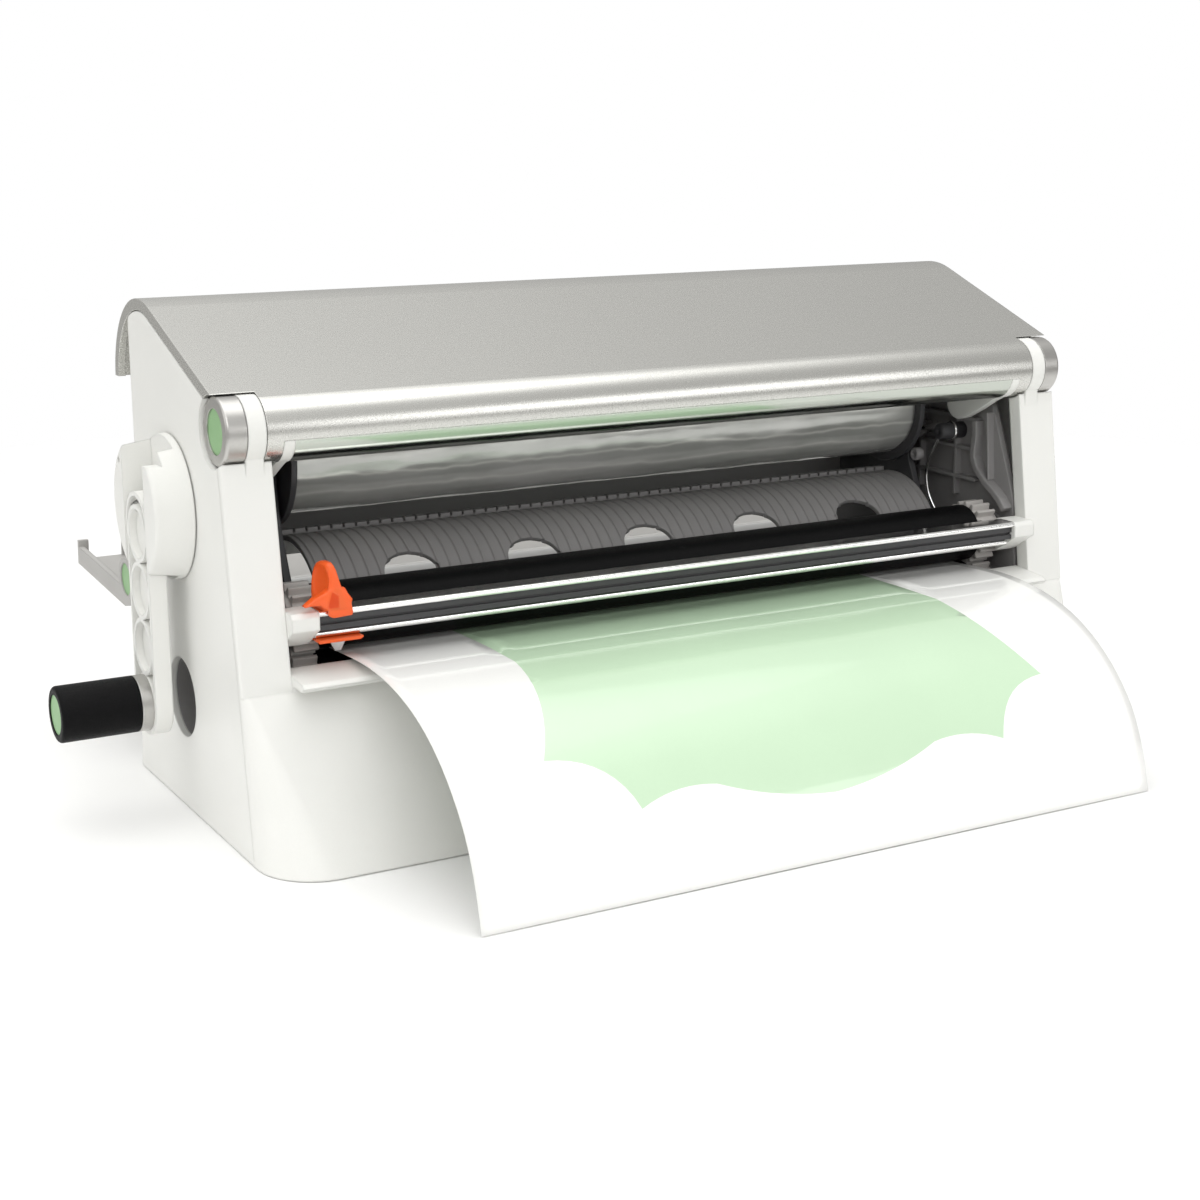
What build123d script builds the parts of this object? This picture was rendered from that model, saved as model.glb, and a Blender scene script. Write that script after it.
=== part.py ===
from build123d import *
import os
from math import asin, atan2, cos, degrees, hypot, pi, radians, sin, sqrt

# Hand-cranked cold laminator for 12 inch sheets.
# +X runs to the right, -Y is the front where the sheet comes out, +Z is up.
# The origin is the middle of the flat underside of the base. Millimetres.

# ---------------------------------------------------------------- driving dimensions
HALF_WIDTH = 196.8           # side faces of the housing
WALL = 2.8                   # moulded walls of the housing
POST_WIDTH = 19.8            # width of each front post
POST_WALL = 3.0              # thickness of the post's front face
POST_RETURN = 7.0            # depth of the post's inner side wall
FRONT_LEAN = 0.15            # how far the front leans back for each millimetre up
CREASE_Y = -40.7             # front edge of the side, at the height of the lid's axis
FRONT_FOOT_Y = -88.6         # front panel at the table
FRONT_FOOT_RADIUS = 24.0     # its plan corners at the table
FRONT_TOP_Y = -55.6          # front panel under the exit lip, just ahead of the posts
FRONT_TOP_RADIUS = 3.2       # its plan corners there
FRONT_TOP_Z = 63.0
REAR_Y = 75.0                # rear wall above its slope
REAR_FOOT_Y = REAR_Y + 13.6  # rear wall at the table
REAR_BEND_Z = 141.0
REAR_CORNER_RADIUS = 15.0
SEAM_X = HALF_WIDTH - 21.8   # where the rear cover meets the side panels

LID_AXIS_Y, LID_AXIS_Z = -34.4, 158.6
BARREL_RADIUS = 13.0         # rolled front edge of the lid
CREST_Y = REAR_Y - 27.6      # centre of the round over the back
CREST_Z = LID_AXIS_Z + 5.5
CREST_RADIUS = 36.0
LID_WALL = 2.2
LID_RIM = 4.5                # depth of the band along each side edge
LID_RIM_WIDTH = 3.0
LID_GAP = 0.5                # between the lid's rim and the side panels
SKIRT_Z = CREST_Z + 1.9      # lower edge of the lid at the back
HINGE_GAP = 0.6              # between the barrel and what surrounds it
KNUCKLE_IN = HALF_WIDTH - 16.6
KNUCKLE_OUT = KNUCKLE_IN + 7.0
KNUCKLE_PLAY = 0.3           # side play of a knuckle between barrel and end ring
STEM_ANGLE = 228.0           # where the knuckle's fairing into the post leaves the barrel
STEM_DROP = 3.5              # where it meets the post, below the barrel
RING_OUT = HALF_WIDTH - 1.3  # outer face of the lid's end rings
TRIM_FROM, TRIM_TO = 195.0, 264.0    # degrees round the barrel taken by its glossy trim strip
TRIM_WALL = 2.0
TRIM_END = HALF_WIDTH - 23.4 # outer faces of the strip's two white end pieces
TRIM_HALF = TRIM_END - 4.4   # the strip runs between them
HINGE_BORE = 20.0            # depth of each hinge pin's bore in the barrel
PIN_RADIUS = 3.0             # hinge pins of the lid and the feed tray
RUNNING_FIT = 0.05           # radial clearance of every shaft in its bore
CAP_RADIUS = BARREL_RADIUS - 4.4     # green end caps of the lid
CAP_DEPTH = 2.0
CAP_SINK = 0.6               # how far a cap sits below its rim

NIP_Z = 70.9
ROLLER_CENTRES = 26.0        # distance between the two roller axes
ROLLER_Y = ROLLER_CENTRES / 2 - 42.2     # larger rollers grow towards the back
SLEEVE_RADIUS = ROLLER_CENTRES / 2 - 0.4
SLEEVE_HALF = HALF_WIDTH - 38.2
CORE_RADIUS = 9.0
JOURNAL_RADIUS = 4.0
ROLLER_TEETH = 18
ROLLER_GEAR_WIDTH = 10.0
ROLLER_GEAR_GAP = 1.0        # between the rubber and the gear
ROLLER_COLLAR = 2.0          # plain collar outside each roller gear
ROLLER_COLLAR_RADIUS = 10.5
ROLLER_ADDENDUM, ROLLER_DEDENDUM = 1.1, 1.5
ROLLER_BACKLASH = 0.36       # play between the teeth of the two roller gears, on the pitch circle

FRAME_IN = HALF_WIDTH - POST_WIDTH   # inner face of the two inner frames
FRAME_WALL = 3.0
BUSH_WALL = 2.0
RIB_HEIGHT = 3.0
RIB_WIDTH = 1.6
RIB_HEIGHTS = (104.0, 118.0, 132.0)    # long ribs
RIB_FRONT_Y, RIB_REAR_Y = -18.0, 62.0
RIB_PLACES = (-4.0, 22.0, 44.0, 61.0)  # upright ribs
RIB_LOW_Z, RIB_HIGH_Z = 96.0, 140.0
BEARING_RIM = 1.6
BEARING_PROUD = 1.5          # bearing seats stand this far off the frame's inner face

CRANK_Y, CRANK_Z = 15.0, 123.0
CRANK_THROW = 77.0           # crank axis to knob axis
HUB_RADIUS = 28.5
HUB_FACE_RADIUS = 26.6
HUB_THICKNESS = 15.0
HUB_GAP = 0.5                # between the hub and the side panel
ARM_WIDTH = 26.0
ARM_THICKNESS = 7.0
ARM_PLAY = 0.3               # each side of the arm in the hub's channel
ARM_TOP = 7.0                # arm above its pivot
ARM_RIM = 1.8
ARM_RING_PITCH = (CRANK_THROW - 9.5) / 3
ARM_POCKET = 3.0
FOLD_PIN_RADIUS = 2.0
SHAFT_RADIUS = 6.0
COLLAR_LENGTH = 4.5
KNOB_RADIUS = 11.15
KNOB_LENGTH = 30.8
KNOB_GAP = 0.3
SPINDLE_RADIUS = 3.0
KNOB_CAP_RADIUS = 7.9
STORE_RADIUS = KNOB_RADIUS + 4.85    # hole in the side where the folded knob goes
STORE_DEPTH = 37.6
STORE_WALL = 1.6

TRAIN_MODULE = 1.5           # crank gear, idler and roller drive gear
CRANK_TEETH = 24
IDLER_TEETH = 20
DRIVE_TEETH = 24
TRAIN_WIDTH = 6.0
TRAIN_OUT = HALF_WIDTH - 6.8 # outer face of the gear train

FILM_HALF = 152.4            # film and sheet are 12 inches wide
FILM_RADIUS = 25.0
FILM_Y, FILM_Z = 25.0, 138.5
LOWER_FILM_RADIUS = 20.0
LOWER_FILM_Y, LOWER_FILM_Z = 42.0, 34.0
FILM_CORE_RADIUS = 13.0
FILM_CORE_WALL = 2.0
FLANGE_RADIUS = 28.8
FLANGE_THICKNESS = 2.5
AXLE_RADIUS = 4.0
CARTRIDGE_GAP = 0.8          # between a film roll's flange and the cartridge end
CARTRIDGE_WALL = 3.0
LOCK_PIN_RADIUS = 3.2        # pins that hold the cartridge between the inner frames
LOCK_PIN_Y, LOCK_PIN_Z = 16.0, 125.5

GUIDE_HALF = 151.0
GUIDE_WALL = 2.0
GUIDE_RADIUS = 36.0
NOTCH_COUNT = 5
NOTCH_RADIUS = 13.0
NOTCH_PITCH = 55.0
GUIDE_Y = 12.0               # axis of the guide's curve
GUIDE_TOP_Z = 106.5
GUIDE_FROM, GUIDE_TO = 77.0, 134.0   # degrees round that axis
COMB_TEETH = 56
COMB_Y = 20.5
COMB_DEPTH = 3.0
COMB_LOW, COMB_HIGH = 3.0, 1.0
COMB_SLIT = 1.0
PLATEN_FRONT_Y, PLATEN_REAR_Y = -14.0, 62.0
PLATEN_DROP = 3.5            # feed platen below the nip
PLATEN_WALL = 3.0

RAIL_HALF = HALF_WIDTH - 30.8
RAIL_BACK_Y = ROLLER_Y - ROLLER_CENTRES / 2 - 5.3
RAIL_DEPTH = 7.0
RAIL_Z0, RAIL_Z1 = 84.6, 89.9
STRIP_FRONT_Y, STRIP_BACK_Y = RAIL_BACK_Y - 8.7, RAIL_BACK_Y + 0.5
STRIP_HEIGHT = 2.4
ROD_RADIUS = 1.5
ROD_Y, ROD_Z = RAIL_BACK_Y - 2.7, 82.5
CUTTER_X = 11.0 - RAIL_HALF  # middle of the cutter, parked at the left
CUTTER_PLAY = 0.3
CUTTER_TOP_Z = 110.5
CUTTER_FOOT_Z = 79.3

SHELF_Z = 69.6               # top of the exit shelf
SHELF_LIP_Y = -66.5
SHELF_BACK_Y = -46.0
SHELF_WALL = 4.6

TRAY_Y, TRAY_Z = REAR_Y + 15.4, 78.2 # axis of the feed tray
TRAY_BOSS_RADIUS = 9.0
TRAY_CAP_RADIUS = 7.0
TRAY_TILT = 3.7              # degrees, rear edge up
TRAY_LENGTH = 74.0           # from the axis to the rear edge
TRAY_DROP = 12.5             # tray underside below its axis
TRAY_RAIL = 8.2
TRAY_RAIL_WIDTH = 2.4
TRAY_FLOOR = 2.0
TRAY_LIP = 11.0
TRAY_NOTCH = (4.5, 20.0)     # notch in the lip, measured from each side
SLOT_Z0, SLOT_Z1 = 64.0, 84.0    # feed slot through the rear cover
SLOT_HALF = SEAM_X - 3.0

SHEET_THICKNESS = 0.3
SHEET_TAIL_Y = REAR_Y + 10.0
BASE_THICKNESS = 3.0
SCREW_RADIUS = 1.5
SCREW_HEAD = 2.8
GAP = 0.2                    # seam between neighbouring covers

BASE_CORNERS = (HALF_WIDTH - 28.8, HALF_WIDTH - 6.8, HALF_WIDTH - 18.8)  # half widths: front, middle, rear
BASE_STRAIGHT_Y = (-58.0, REAR_FOOT_Y - 18.6)   # between these the base has its full width
BASE_INSET = (2.0, 0.6)                # base inside the walls, at the front and the rear
PAD_X = HALF_WIDTH - 31.8
PAD_Y = (-60.0, REAR_FOOT_Y - 26.6)
PAD_RADIUS = 9.0
PAD_DEPTH = 1.5
SCREW_X = HALF_WIDTH - 46.8
SCREW_Y = (-72.0, REAR_FOOT_Y - 12.6)
SCREW_SINK = 1.6
SCREW_HEAD_HEIGHT = 1.4
SCREW_SHANK = 6.0

# ---------------------------------------------------------------- derived places
UPPER_Z = NIP_Z + ROLLER_CENTRES / 2
LOWER_Z = NIP_Z - ROLLER_CENTRES / 2
POST_IN = HALF_WIDTH - POST_WIDTH
FRAME_OUT = FRAME_IN + FRAME_WALL
HUB_BACK = HALF_WIDTH + HUB_GAP
HUB_FACE = HUB_BACK + HUB_THICKNESS
ARM_FACE = HUB_FACE - 0.5
ARM_BACK = ARM_FACE - ARM_THICKNESS
FOLD_X = ARM_FACE - ARM_THICKNESS / 2
CHANNEL_FLOOR = FOLD_X - hypot(ARM_TOP, ARM_THICKNESS / 2) - ARM_PLAY
KNOB_Z = CRANK_Z - CRANK_THROW
COLLAR_FACE = ARM_FACE + COLLAR_LENGTH
KNOB_BACK = COLLAR_FACE + KNOB_GAP
KNOB_END = KNOB_BACK + KNOB_LENGTH
GEAR_IN = SLEEVE_HALF + ROLLER_GEAR_GAP
GEAR_OUT = GEAR_IN + ROLLER_GEAR_WIDTH
FLANGE_OUT = FILM_HALF + FLANGE_THICKNESS
CARTRIDGE_IN = FLANGE_OUT + CARTRIDGE_GAP
CARTRIDGE_OUT = CARTRIDGE_IN + CARTRIDGE_WALL
STRIP_Z0 = RAIL_Z1 + 0.2
STRIP_Z1 = STRIP_Z0 + STRIP_HEIGHT
TRAIN_IN = TRAIN_OUT - TRAIN_WIDTH
LID_SPAN = hypot(CREST_Y - LID_AXIS_Y, CREST_Z - LID_AXIS_Z)
LID_SLOPE = atan2(CREST_Z - LID_AXIS_Z, CREST_Y - LID_AXIS_Y) + asin((CREST_RADIUS - BARREL_RADIUS) / LID_SPAN)
SLOPE_NORMAL = (-sin(LID_SLOPE), cos(LID_SLOPE))


def crease_y(z):
    """Front edge of the housing's side at height z."""
    return CREASE_Y + FRONT_LEAN * (z - LID_AXIS_Z)


def rear_y(z):
    """Outer face of the rear wall at height z."""
    share = min(z / REAR_BEND_Z, 1.0)
    return REAR_FOOT_Y + (REAR_Y - REAR_FOOT_Y) * share


# ---------------------------------------------------------------- shape helpers
def box(x0, x1, y0, y1, z0, z1):
    middle = Pos((x0 + x1) / 2, (y0 + y1) / 2, (z0 + z1) / 2)
    return middle * Box(x1 - x0, y1 - y0, z1 - z0)


def rod_x(y, z, radius, x0, x1):
    return Pos((x0 + x1) / 2, y, z) * Rot(0, 90, 0) * Cylinder(radius, x1 - x0)


def tube_x(y, z, outer, inner, x0, x1):
    return rod_x(y, z, outer, x0, x1) - rod_x(y, z, inner, x0 - 1, x1 + 1)


def prism_x(face, x0, x1):
    """Carry a face drawn in (y, z) from x0 to x1."""
    return extrude(Plane.YZ.offset(x0) * face, amount=x1 - x0, dir=(1, 0, 0))


def outline(*points):
    return Polygon(*points, align=None)


def both(shape):
    """A left-hand shape and its mirror image, as two separate solids."""
    return Compound(children=[shape, mirror(shape, Plane.YZ)])


def group(shapes):
    return Compound(children=list(shapes))


def save(name, shape):
    export_step(shape, f"parts/{name}.step")


# ---------------------------------------------------------------- lid
def lid_region(inset):
    """Area under the lid's outer surface, moved inwards by inset."""
    ny, nz = SLOPE_NORMAL
    start = (LID_AXIS_Y + (BARREL_RADIUS - inset) * ny, LID_AXIS_Z + (BARREL_RADIUS - inset) * nz)
    radius = CREST_RADIUS - inset
    bend = (CREST_Y + radius * ny, CREST_Z + radius * nz)
    half_way = (pi / 2 + LID_SLOPE) / 2
    middle = (CREST_Y + radius * cos(half_way), CREST_Z + radius * sin(half_way))
    back = (CREST_Y + radius, CREST_Z)
    low = LID_AXIS_Z - BARREL_RADIUS
    edges = Polyline((LID_AXIS_Y, low), start, bend) + ThreePointArc(bend, middle, back)
    edges += Polyline(back, (back[0], low), (LID_AXIS_Y, low))
    return make_face(edges)


def on_barrel(radius, angle):
    """Point at an angle round the lid's axis, from +Y towards +Z."""
    return LID_AXIS_Y + radius * cos(radians(angle)), LID_AXIS_Z + radius * sin(radians(angle))


def trim_section(outer):
    """Section of the trim strip let into the front of the barrel."""
    inner = BARREL_RADIUS - TRIM_WALL
    middle = (TRIM_FROM + TRIM_TO) / 2
    edges = ThreePointArc(on_barrel(outer, TRIM_FROM), on_barrel(outer, middle), on_barrel(outer, TRIM_TO))
    edges += Line(on_barrel(outer, TRIM_TO), on_barrel(inner, TRIM_TO))
    edges += ThreePointArc(on_barrel(inner, TRIM_TO), on_barrel(inner, middle), on_barrel(inner, TRIM_FROM))
    edges += Line(on_barrel(inner, TRIM_FROM), on_barrel(outer, TRIM_FROM))
    return make_face(edges)


def make_lid():
    skin = lid_region(0) - lid_region(LID_WALL)
    band = lid_region(0) - lid_region(LID_RIM)
    shell = prism_x(skin, -HALF_WIDTH, HALF_WIDTH)
    shell += prism_x(band, -HALF_WIDTH, LID_RIM_WIDTH - HALF_WIDTH)
    shell += prism_x(band, HALF_WIDTH - LID_RIM_WIDTH, HALF_WIDTH)
    shell -= box(-300, 300, 0, 150, 0, SKIRT_Z)
    shell -= box(-300, 300, -100, LID_AXIS_Y + 0.01, 0, LID_AXIS_Z)
    swept = BARREL_RADIUS + HINGE_GAP
    for x0, x1 in ((-300, -KNUCKLE_IN + KNUCKLE_PLAY), (KNUCKLE_IN - KNUCKLE_PLAY, 300)):
        shell -= rod_x(LID_AXIS_Y, LID_AXIS_Z, swept, x0, x1)
    end = KNUCKLE_IN - KNUCKLE_PLAY
    shell += rod_x(LID_AXIS_Y, LID_AXIS_Z, BARREL_RADIUS, -end, end)
    shell -= prism_x(trim_section(BARREL_RADIUS + 1), -TRIM_END, TRIM_END)
    bore_floor = end - HINGE_BORE
    for side in (-1, 1):
        ends = sorted((side * bore_floor, side * (end + 1)))
        shell -= rod_x(LID_AXIS_Y, LID_AXIS_Z, PIN_RADIUS, *ends)
    save("lid_shell", shell)

    ring = rod_x(LID_AXIS_Y, LID_AXIS_Z, BARREL_RADIUS, -RING_OUT, -KNUCKLE_OUT - KNUCKLE_PLAY)
    ring = fillet(ring.edges().group_by(Axis.X)[0], 1.2)
    cap_face = RING_OUT - CAP_SINK
    ring -= rod_x(LID_AXIS_Y, LID_AXIS_Z, CAP_RADIUS, -RING_OUT - 1, -cap_face + CAP_DEPTH)
    ring -= rod_x(LID_AXIS_Y, LID_AXIS_Z, PIN_RADIUS, -RING_OUT - 1, 0)
    save("lid_end_rings", both(ring))
    cap = rod_x(LID_AXIS_Y, LID_AXIS_Z, CAP_RADIUS, -cap_face, -cap_face + CAP_DEPTH)
    save("lid_end_caps", both(cap))
    pin = rod_x(LID_AXIS_Y, LID_AXIS_Z, PIN_RADIUS, -cap_face + CAP_DEPTH, -bore_floor)
    save("lid_hinge_pins", both(pin))


# ---------------------------------------------------------------- housing
def side_outline():
    """Side of the housing: leaning front, lid slope, round crest, upright and sloping rear."""
    inset = LID_RIM + LID_GAP
    ny, nz = SLOPE_NORMAL
    radius = CREST_RADIUS - inset
    bend = (CREST_Y + radius * ny, CREST_Z + radius * nz)
    rear_top = (REAR_Y, CREST_Z + sqrt(radius**2 - (REAR_Y - CREST_Y) ** 2))
    rear_angle = atan2(rear_top[1] - CREST_Z, rear_top[0] - CREST_Y)
    middle_angle = (pi / 2 + LID_SLOPE + rear_angle) / 2
    middle = (CREST_Y + radius * cos(middle_angle), CREST_Z + radius * sin(middle_angle))
    start = (LID_AXIS_Y + (BARREL_RADIUS - inset) * ny, LID_AXIS_Z + (BARREL_RADIUS - inset) * nz)
    seam = POST_WALL + GAP
    low = (crease_y(0) + seam, 0)
    high = (crease_y(LID_AXIS_Z) + seam, LID_AXIS_Z)
    edges = Polyline(start, bend) + ThreePointArc(bend, middle, rear_top)
    edges += Polyline(rear_top, (REAR_Y, REAR_BEND_Z), (REAR_FOOT_Y, 0), low, high, start)
    return make_face(edges)


def make_side_and_rear():
    solid = prism_x(side_outline(), -HALF_WIDTH, HALF_WIDTH)
    back = [e for e in solid.edges() if e.center().Y > REAR_Y - 0.5 and abs(e.center().X) > HALF_WIDTH - 0.5]
    back = [e for e in back if e.center().Z < CREST_Z + 10 and abs((e @ 1 - e @ 0).Z) > 20]
    solid = fillet(back, REAR_CORNER_RADIUS)
    room_outline = outline(
        (-200, -5), (REAR_FOOT_Y - WALL + 0.5, -5), (REAR_Y - WALL, REAR_BEND_Z), (REAR_Y - WALL, 250), (-200, 250)
    )
    room = prism_x(room_outline, -HALF_WIDTH + WALL, HALF_WIDTH - WALL)
    corners = [e for e in room.edges() if e.center().Y > 0 and abs((e @ 1 - e @ 0).Z) > 20]
    room = fillet(corners, REAR_CORNER_RADIUS - WALL)
    shell = solid - room
    around_barrel = BARREL_RADIUS + HINGE_GAP
    shell -= rod_x(LID_AXIS_Y, LID_AXIS_Z, around_barrel, -300, 300)

    left = shell & box(-300, -SEAM_X, -200, 200, -10, 300)
    right = shell & box(SEAM_X, 300, -200, 200, -10, 300)
    lug_in, lug_out = KNUCKLE_IN, KNUCKLE_OUT - 1
    lug_room = PIN_RADIUS + 4
    lug_outline = outline(
        (TRAY_Y, TRAY_Z + lug_room - 1), (rear_y(TRAY_Z) - 1.5, TRAY_Z + 14),
        (rear_y(TRAY_Z) - 1.5, TRAY_Z - 14), (TRAY_Y, TRAY_Z - lug_room + 1)
    )
    lug = prism_x(lug_outline, -lug_out, -lug_in - 1)
    lug += rod_x(TRAY_Y, TRAY_Z, lug_room, -lug_out, -lug_in - 1)
    bore = rod_x(TRAY_Y, TRAY_Z, PIN_RADIUS + RUNNING_FIT, -300, 300)
    left = left + lug - bore
    right = right + mirror(lug, Plane.YZ) - bore
    left -= rod_x(CRANK_Y, CRANK_Z, SHAFT_RADIUS + 1, -300, 0)
    left -= rod_x(CRANK_Y, KNOB_Z, STORE_RADIUS, -300, 0)
    save("side_panel_left", left)
    save("side_panel_right", right)

    rear_top = CREST_Z + 8
    rear = shell & box(-SEAM_X + GAP, SEAM_X - GAP, 20, 200, -10, rear_top)
    rear -= box(-SLOT_HALF, SLOT_HALF, 60, 120, SLOT_Z0, SLOT_Z1)
    save("rear_cover", rear)

    cup = rod_x(CRANK_Y, KNOB_Z, STORE_RADIUS + STORE_WALL, -HALF_WIDTH + WALL, -HALF_WIDTH + STORE_DEPTH)
    cup -= rod_x(CRANK_Y, KNOB_Z, STORE_RADIUS, -300, -HALF_WIDTH + STORE_DEPTH - STORE_WALL)
    save("knob_storage_cup", cup)


def panel_section(z, front, back, half, radius):
    """Plan of the lower front panel at height z, rounded at its two front corners."""
    edges = Polyline((-half + radius, front), (half - radius, front))
    edges += RadiusArc((half - radius, front), (half, front + radius), -radius)
    edges += Polyline((half, front + radius), (half, back), (-half, back), (-half, front + radius))
    edges += RadiusArc((-half, front + radius), (-half + radius, front), -radius)
    return Plane.XY.offset(z) * make_face(edges)


def make_front_cover():
    low_back = crease_y(0) + POST_WALL
    top_back = crease_y(FRONT_TOP_Z) + POST_WALL
    outer = loft([
        panel_section(0, FRONT_FOOT_Y, low_back, HALF_WIDTH, FRONT_FOOT_RADIUS),
        panel_section(FRONT_TOP_Z, FRONT_TOP_Y, top_back, HALF_WIDTH, FRONT_TOP_RADIUS),
    ], ruled=True)
    inner = loft([
        panel_section(-0.01, FRONT_FOOT_Y + WALL, low_back + 1, HALF_WIDTH - WALL, FRONT_FOOT_RADIUS - WALL),
        panel_section(FRONT_TOP_Z + 0.01, FRONT_TOP_Y + WALL, top_back + 1, HALF_WIDTH - WALL,
                      FRONT_TOP_RADIUS - WALL),
    ], ruled=True)
    cover = outer - inner

    top_z = LID_AXIS_Z
    post_outline = outline(
        (crease_y(FRONT_TOP_Z), FRONT_TOP_Z), (crease_y(top_z), top_z),
        (crease_y(top_z) + POST_WALL, top_z), (crease_y(FRONT_TOP_Z) + POST_WALL, FRONT_TOP_Z)
    )
    post = prism_x(post_outline, -HALF_WIDTH, -POST_IN)
    post = fillet(post.edges().filter_by(lambda e: e.center().X < -HALF_WIDTH + 0.1 and
                  e.center().Y < crease_y(e.center().Z) + 0.1 and abs((e @ 1 - e @ 0).Z) > 20), 1.2)
    return_outline = outline(
        (crease_y(FRONT_TOP_Z), FRONT_TOP_Z), (crease_y(top_z), top_z),
        (crease_y(top_z) + POST_RETURN, top_z), (crease_y(FRONT_TOP_Z) + POST_RETURN, FRONT_TOP_Z)
    )
    post += prism_x(return_outline, -POST_IN - FRAME_WALL, -POST_IN)
    foot_z = FRONT_TOP_Z - WALL
    root_z = FRONT_TOP_Z + WALL
    post += box(-HALF_WIDTH + 1.5, -POST_IN, crease_y(root_z), crease_y(foot_z) + POST_WALL, foot_z, root_z)
    post -= rod_x(LID_AXIS_Y, LID_AXIS_Z, BARREL_RADIUS + HINGE_GAP, -300, 0)
    knuckle = rod_x(LID_AXIS_Y, LID_AXIS_Z, BARREL_RADIUS, -KNUCKLE_OUT, -KNUCKLE_IN)
    stem_z = LID_AXIS_Z - BARREL_RADIUS - STEM_DROP
    stem = outline(
        on_barrel(BARREL_RADIUS, STEM_ANGLE), (crease_y(stem_z), stem_z),
        (crease_y(stem_z) + POST_RETURN, stem_z), (LID_AXIS_Y, LID_AXIS_Z - BARREL_RADIUS)
    )
    knuckle += prism_x(stem, -KNUCKLE_OUT, -KNUCKLE_IN)
    post += knuckle
    post -= rod_x(LID_AXIS_Y, LID_AXIS_Z, PIN_RADIUS + RUNNING_FIT, -300, 0)
    cover += post
    cover += mirror(post, Plane.YZ)

    lip_z = SHELF_Z - 1.6
    lip_low = SHELF_Z - SHELF_WALL
    nose = SHELF_WALL / 2 - 0.7
    shelf_outline = outline(
        (SHELF_BACK_Y, SHELF_Z), (SHELF_LIP_Y + nose, lip_z), (SHELF_LIP_Y, lip_z - nose),
        (SHELF_LIP_Y + nose, lip_low), (SHELF_BACK_Y, lip_low)
    )
    shelf = prism_x(shelf_outline, -POST_IN, POST_IN)
    cover += shelf
    cover += box(-POST_IN, POST_IN, FRONT_TOP_Y, FRONT_TOP_Y + WALL, FRONT_TOP_Z - 1, lip_low + 0.5)
    save("front_cover", cover)


def make_base():
    front_half, full_half, rear_half = BASE_CORNERS
    straight_front, straight_rear = BASE_STRAIGHT_Y
    front = FRONT_FOOT_Y + WALL + BASE_INSET[0]
    rear = REAR_FOOT_Y - WALL - BASE_INSET[1]
    plate_outline = outline(
        (-front_half, front), (front_half, front), (full_half, straight_front), (full_half, straight_rear),
        (rear_half, rear), (-rear_half, rear), (-full_half, straight_rear), (-full_half, straight_front)
    )
    plate = extrude(plate_outline, amount=BASE_THICKNESS)
    spots = [(x, y) for x in (-PAD_X, PAD_X) for y in PAD_Y]
    for x, y in spots:
        plate -= Pos(x, y, 0) * Cylinder(PAD_RADIUS, 2 * PAD_DEPTH)
    holes = [(x, y) for x in (-SCREW_X, 0, SCREW_X) for y in SCREW_Y]
    for x, y in holes:
        plate -= Pos(x, y, 0) * Cylinder(SCREW_RADIUS, 20)
        plate -= Pos(x, y, 0) * Cylinder(SCREW_HEAD, 2 * SCREW_SINK)
    save("base_plate", plate)
    save("base_pads", group(Pos(x, y, PAD_DEPTH / 2) * Cylinder(PAD_RADIUS, PAD_DEPTH) for x, y in spots))
    screws = []
    for x, y in holes:
        head = Pos(x, y, SCREW_SINK - SCREW_HEAD_HEIGHT / 2) * Cylinder(SCREW_HEAD - 0.1, SCREW_HEAD_HEIGHT)
        screws.append(head + Pos(x, y, SCREW_SINK + SCREW_SHANK / 2) * Cylinder(SCREW_RADIUS, SCREW_SHANK))
    save("base_screws", group(screws))


# ---------------------------------------------------------------- inner frames and bearings
BEARINGS = ((ROLLER_Y, UPPER_Z), (ROLLER_Y, LOWER_Z))


def frame_plate():
    """Left inner frame with its ribs; the right one mirrors it, without the crank's holes."""
    front = crease_y(0) + POST_RETURN + 5
    rear = REAR_Y - WALL - 2
    face = outline(
        (front, BASE_THICKNESS), (rear + 9.8, BASE_THICKNESS), (rear, 60), (rear, REAR_BEND_Z + 9),
        (CREST_Y - 2.4, CREST_Z + 13.9), (0, LID_AXIS_Z + 9.4), (LID_AXIS_Y + 18.4, LID_AXIS_Z - 6.6),
        (LID_AXIS_Y + 9.4, LID_AXIS_Z - 18.6), (crease_y(100) + POST_RETURN + 1, 100)
    )
    plate = prism_x(face, -FRAME_OUT, -FRAME_IN)
    inner = -FRAME_IN + RIB_HEIGHT
    for z in RIB_HEIGHTS:
        plate += box(-FRAME_IN - 1, inner, RIB_FRONT_Y, RIB_REAR_Y, z, z + RIB_WIDTH)
    for y in RIB_PLACES:
        plate += box(-FRAME_IN - 1, inner, y, y + RIB_WIDTH, RIB_LOW_Z, RIB_HIGH_Z)
    for y, z in BEARINGS:
        plate += rod_x(y, z, JOURNAL_RADIUS + BUSH_WALL + BEARING_RIM, -FRAME_OUT, -FRAME_IN + BEARING_PROUD)
        plate -= rod_x(y, z, JOURNAL_RADIUS + BUSH_WALL, -300, 0)
    return plate


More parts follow.
